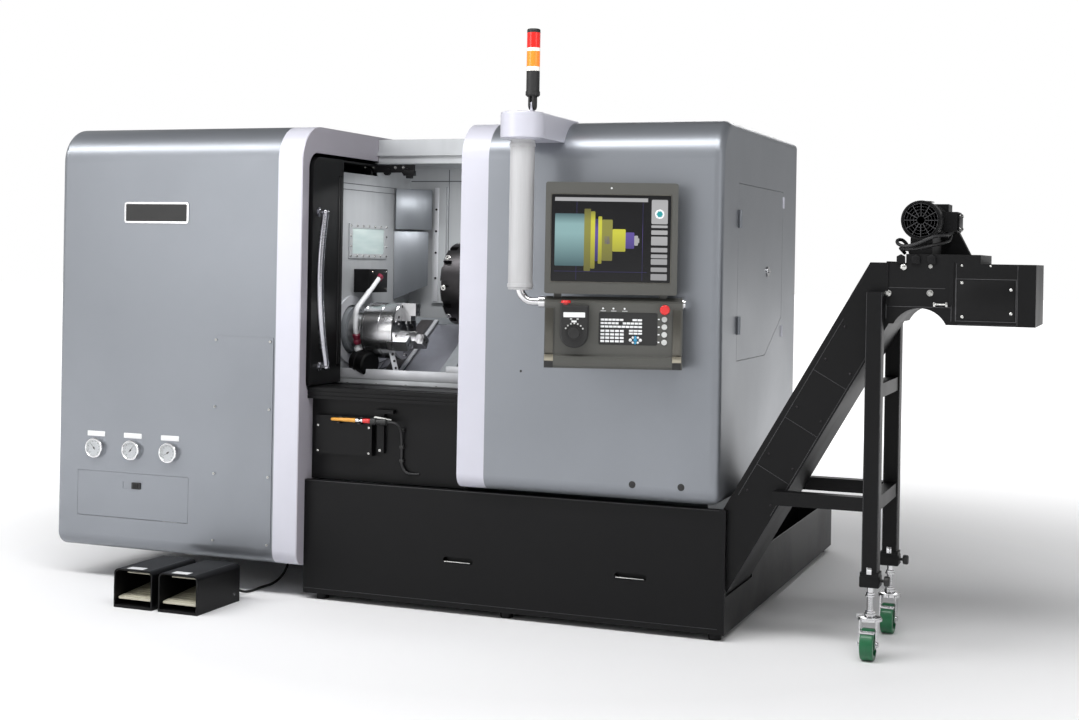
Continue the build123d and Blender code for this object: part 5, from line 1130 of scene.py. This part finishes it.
dot = Mould(CONSOLE).turned([(3, PANEL), (3, 52.6), (1.6, 53)], (291, 1465, 0), steps=20)
dot.become("monitor_dot", white_plastic, "monitor")
hand_keys = Mould(CONSOLE)
for i in range(7):
    (x, z), = around((179, 1000), 31, 1, 28 + 20.5 * i)
    hand_keys.turned([(2.8, 0), (2.8, 1.6), (1.8, 2.0)], (x, z, HAND_UNIT), steps=14)
hand_keys.bars([(x, 1043, x + 7, 1047) for x in (165, 186)], HAND_UNIT, HAND_UNIT + 1.8, 0.4)
hand_keys.become("hand_unit_keys", pale_plastic, "keyboard")
print("keys at", BED, "mm off the mast")

# %% [markdown]
# ## Mast
#
# The swivel mast is painted above and ends in a bright elbow, with a neck ring under its
# head and a knuckle where the shaft turns. Height picks paint or metal within one finish.

# %% Mast finish and rings
ELBOW_TOP = 1.1335
mast_finish = Finish("mast_paint", (0.46, 0.46, 0.47), 0.3, Coat_Weight=0.2)
is_elbow = mast_finish.along(2) < ELBOW_TOP
brushing = mast_finish.grain(30.0, (8.0, 8.0, 0.4), 3.0)
painted_part = mast_finish.shaded(mast_finish.ramp(brushing, (0.3, 0.0), (0.8, 1.0)), 0.08)
mast_finish.feed(Base_Color=mast_finish.blend(is_elbow, painted_part, (0.70, 0.70, 0.71)),
                 Metallic=is_elbow, Roughness=0.32 - is_elbow * 0.16 + brushing * 0.06)
wear(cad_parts["mast_tube"], mast_finish)
rings = Mould(Matrix.Translation(MAST))
for z in (1140, 1596):
    rings.turned([(40.2, 0), (42.5, 2), (42.5, 12), (40.2, 14)], (0, 0, z), steps=56)
rings.become("mast_rings", mast_finish, "mast", "pale_paint")
neck = Mould(Matrix.Translation(MAST)).turned([(52, 1619), (60, 1622), (60, 1626)], steps=56)
neck.become("mast_neck", pale_paint)
beacon_foot = Mould(Matrix.Translation((186.5, -875.5, 0)))
beacon_foot.turned([(30, 1708), (30, 1714), (26, 1717)], steps=40)
beacon_foot.turned([(22.6, 1771), (24, 1773), (24, 1784), (22.6, 1786)], steps=40)
beacon_foot.become("beacon_foot", black_plastic)
print("elbow ends at", ELBOW_TOP, "m")

# %% [markdown]
# ## Chip conveyor
#
# Black on black only reads by its edges: folded flanges, seams and bright fasteners. So the
# head gets its flanges, a screwed inspection panel, nuts on welded studs and a small bail,
# and the drive gets a fan grille and a terminal box lid with screws. Flanges, seams and grille
# are pale grey strips that paint the highlight of a lit edge. Two slack leads hang from the
# terminal box and go back into the head.

# %% Head of the conveyor
FLANK_Y = -695.5
FLANK = front(FLANK_Y)
FLANGES = [
    (1322, 1104, 1519, 1106), (1322, 1163, 1500, 1164.6), (1320, 1066, 1322, 1240),
    (1519.5, 1062, 1521, 1244), (1534, 1062, 1535.4, 1244), (1716, 1054, 1717.6, 1240),
    (1538, 1053, 1714, 1054.4), (1640, 1104, 1641.2, 1168),
]
# Pale grey for thin strips along black edges: a painted highlight where a folded edge would catch
# the light.
painted_edge_highlight = Finish("painted_edge_highlight", (0.10, 0.10, 0.105), 0.3, 0.5)
painted_edge_highlight.feed(Base_Color=painted_edge_highlight.shaded(painted_edge_highlight.grain(40.0), 0.6))
# The flanges and seams of the head are strips in the painted highlight grey.
flanges = Mould(FLANK).ring([(1532, 1064), (1714, 1064), (1714, 1196), (1532, 1196)],
                            [(1534, 1066), (1712, 1066), (1712, 1194), (1534, 1194)], 0, 1.0)
flanges.bars(FLANGES, -0.3, 1.3, 0.3).become("conveyor_edge_highlights", painted_edge_highlight)
Mould(FLANK).bar((1537, 1068, -0.2), (1709, 1191, 2.2), 0.8).become("conveyor_panel", black_coat)
fasteners = Mould(FLANK)
for x in (1550.5, 1636.5):
    fasteners.dome((x, 1236, 0), 4.2, 3.2)
for x, z in ((1551.5, 1183), (1553.5, 1078), (1697.5, 1164), (1698.5, 1091)):
    fasteners.dome((x, z, 2.0), 5.6, 3.6)
for x, z in ((1326.5, 1146), (1455.5, 1149)):
    fasteners.hexagon((x, z, 0), 8.0, 9.0)
    fasteners.turned([(4.2, 8), (4.2, 16)], (x, z, 0), steps=16)
fasteners.dome((1372.5, 1229, 0), 12.0, 7.0)
fasteners.bars([(x, 1107, x + 7, 1121) for x in (1466, 1503)], 0, 9, 1.2)
fasteners.turned([(3.2, 0), (3.2, 36)], (1470, 1114, 6), (1, 0, 0), 14)
fasteners.hexagon((1455.5, 1232, 0), 5.0, 5.0)
fasteners.become("conveyor_fasteners", bolt_steel)
feet = Mould(FLANK)
for x in (1352, 1398, 1446):
    feet.slab([(x, 1240), (x + 26, 1240), (x + 26, 1262), (x + 13, 1269), (x, 1262)], 0, 9, 1.0)
feet.become("motor_bed_lugs", black_coat)

# %% Drive motor
MOTOR = (1422.5, 1376.0)
# The grille's rings and spokes wear the painted highlight grey of the black edges.
grille = Mould(front(-686.5))
for radius in (12, 22, 32, 42, 51):
    grille.turned([(radius, 1.0), (radius + 1.1, 2.6), (radius + 2.2, 1.0)], (*MOTOR, 0), steps=44)
for i in range(12):
    grille.slab(swung(MOTOR, math.tau * i / 12, ((12, -1), (53, -1), (53, 1), (12, 1))), 0.4, 2.0)
grille.become("fan_grille", painted_edge_highlight)
lid = Mould(right_side(1522.5)).bar((-580, 1346, 0), (-482, 1402, 6), 2.5)
lid.become("terminal_lid", black_coat)
motor_screws = Mould(right_side(1528)).cap_screws(grid((-572, -490), (1354, 1394)), 3.4)
motor_screws.on = Matrix()
for place in grid((1398, 1447), (-650, -470)):
    motor_screws.hexagon((*place, 1270), 7.0, 8.0)
motor_screws.become("motor_screws", bolt_steel)
motor_plate = Mould(Matrix.Translation((0, 0, 1438))).bar((1398, -640, -2), (1447, -560, 0.6), 0.4)
motor_plate.become("motor_blank_plate", bolt_steel)
FIRST_BOW = [
    (1500, -560, 1348), (1500, -590, 1332), (1494, -655, 1330), (1462, -700, 1326),
    (1416, -706, 1302), (1378, -704, 1292), (1352, -690, 1300), (1346, -664, 1314),
    (1362, -640, 1316), (1380, -630, 1290), (1384, -625, 1272),
]
SECOND_BOW = [
    (1500, -540, 1348), (1502, -575, 1318), (1492, -640, 1306), (1450, -690, 1296),
    (1400, -690, 1284), (1362, -670, 1284), (1352, -640, 1290), (1366, -620, 1272),
]
free_lead("motor_lead", FIRST_BOW, 11)
free_lead("motor_lead_second", SECOND_BOW, 11)
print("leads hang from", FIRST_BOW[0][2], "mm")

# %% [markdown]
# The incline gets its flange lines, pale strips of painted highlight, and bolts on the near
# side. Legs have a painted highlight strip where the box section is folded, and the casters a
# clamp knob and lock nuts.

# %% Incline and legs
INCLINE, CASE_DEPTH = math.radians(60.4), 147
along_x, along_z = math.cos(INCLINE), math.sin(INCLINE)
LOWER_EDGE = (826.5 + along_z * CASE_DEPTH, FLANK_Y, 462 - along_x * CASE_DEPTH)
CASE_SIDE = face((along_x, 0, along_z), (-along_z, 0, along_x), LOWER_EDGE)
ribs = Mould(CASE_SIDE).bars([(30, y, 700, y + 1.6) for y in (6, 128)], -0.3, 1.4, 0.3)
ribs.bars([(x, 8, x + 1.4, 128) for x in (150, 330, 510)], -0.3, 1.0, 0.3)
ribs.become("incline_edge_highlights", painted_edge_highlight)
incline_bolts = Mould(CASE_SIDE)
for place in grid((60, 200, 380, 560, 680), (22, 112)):
    incline_bolts.dome((*place, 0), 4.5, 3.4)
incline_bolts.become("incline_bolts", dark_steel)

LEG_X, LEGS_Y, THREAD_TURNS = 1291.5, (-720.5, -318.5), 18
leg_edges, nuts, collars, knobs = (Mould() for _ in range(4))
for y in LEGS_Y:
    folds = [(x, y - 25.7, x + 1.5, y - 24.6) for x in (LEG_X - 24, LEG_X + 22.5)]
    leg_edges.bars(folds, 275, 1148, 0.2)
    collars.bar((LEG_X - 31, y - 31, 226), (LEG_X + 31, y + 31, 262), 4.0)
    nuts.hexagon((LEG_X, y, 196), 13, 12)
    nuts.hexagon((LEG_X, y, 139), 15, 12)
    for i in range(THREAD_TURNS):
        nuts.turned([(9.8, 0), (10.8, 0.9), (9.8, 1.8)], (LEG_X, y, 154 + 2.2 * i), steps=20)
    nuts.bar((LEG_X - 8, y - 33, 268), (LEG_X + 8, y - 24, 290), 1.5)
    knob = [(5, 0), (5, 12), (15, 14), (16, 17), (16, 28), (13, 31)]
    knobs.turned(knob, (LEG_X + 29, y, 246), (1, 0, 0), 24)
leg_edges.become("leg_edges", painted_edge_highlight)
nuts.become("caster_nuts", chrome)
collars.become("leg_collars", black_coat)
knobs.become("leg_knobs", black_plastic)

# %% Caster hardware
for end, y in zip(("front", "rear"), LEGS_Y):
    axle = Mould()
    for side in (-1, 1):
        axle.hexagon((LEG_X + side * 27.5, y - 25, 50), 8, 5, (side, 0, 0))
    axle.turned([(34, 0), (36, 2), (36, 6), (20, 9)], (LEG_X, y, 126), steps=36)
    axle.bar((LEG_X - 23, y - 62, 88), (LEG_X + 23, y - 40, 96), 2.0)
    axle.become(f"caster_hardware_{end}", chrome, f"caster_{end}")
print("conveyor stands on", len(LEGS_Y), "casters")

# %% [markdown]
# ## Pedals, tank and the far sides
#
# Each pedal case has a pale inner frame round its treadle, a blank tag on top, a stud at its
# side and pale strips of painted highlight along its top edges. The tank has two painted
# highlight lines along its front and slots with a bright lip. The back and the right side have
# their hinges and handles, and the roof has plugs, since a reader may walk round.

# %% Pedals
PEDALS_X, PEDAL_FRONT, CASE_TOP = (-1169.5, -987.5), -1122.5, 135.5
# The seams mould holds pale strips along each case's top edges, a painted highlight, and the stud
# at its side.
inner_frames, tags, seams = Mould(), Mould(), Mould()
for x in PEDALS_X:
    inner_frames.bar((x - 40, PEDAL_FRONT + 24, 118), (x + 62, PEDAL_FRONT + 190, 122), 0.8)
    inner_frames.bar((x + 66, PEDAL_FRONT + 24, 60), (x + 70, PEDAL_FRONT + 190, 122), 0.8)
    inner_frames.bar((x - 40, PEDAL_FRONT + 4, 5.0), (x + 62, PEDAL_FRONT + 22, 9.0), 0.8)
    tags.bar((x - 34, PEDAL_FRONT + 12, 134.6), (x + 30, PEDAL_FRONT + 46, CASE_TOP), 0.2)
    edges = [(edge - 1, PEDAL_FRONT + 2, edge + 1, PEDAL_FRONT + 266) for edge in (x - 60, x + 60)]
    seams.bars(edges, 134.8, 135.6, 0.2)
    seams.dome((x + 78, PEDAL_FRONT + 235, 30), 6, 3, (1, 0, 0))
inner_frames.become("pedal_inner_frames", cream_plastic)
tags.become("pedal_tags", white_plastic)
seams.become("pedal_edge_highlights", painted_edge_highlight)

# %% Tank, right side, back and roof
SKIRT = front(-717.5)
slot_lips = Mould(SKIRT).bars([(x - 52, 179, x + 46, 182) for x in (-123.5, 502.5)], -0.4, 1.6)
slot_lips.become("skirt_slot_lips", bolt_steel)
# Two pale lines along the tank front, in the painted highlight grey.
skirt_lines = Mould(SKIRT).bars([(-735, 425.5, 800, 427), (-735, 40, 800, 41.2)], -0.4, 0.6, 0.2)
skirt_lines.become("skirt_lines", painted_edge_highlight)
hinges = Mould(right_side(806.5))
for y, z in grid((126, 138), (960, 1440)):
    hinges.turned([(5, 0), (5, 40), (4, 42)], (y, z, -1), (0, 1, 0), 16)
for y in (-520, -120, 280):
    hinges.dome((y, 470, 0), 6, 3)
hinges.become("side_hinges", pale_paint, slot="steel")
cabinet = Mould(rear(932.5))
for x in (-400, 100, 700, 1200):
    cabinet.bar((x, 800, 0), (x + 16, 960, 4), 1.0).bar((x + 2, 812, 4), (x + 14, 948, 26), 4.0)
    for z in (300, 1500):
        cabinet.turned([(7, 0), (7, 70)], (x + 220, z, 2), (0, 1, 0), 16)
cabinet.become("cabinet_fittings", black_plastic)
roof_plugs = Mould(Matrix.Translation((0, 0, 1700)))
for place in grid((-1650, -900, 700), (-200, 300)):
    roof_plugs.turned([(16, 0), (16, 4), (11, 8), (6, 8)], (*place, -4), steps=24)
roof_plugs.become("roof_plugs", black_plastic)

# %% [markdown]
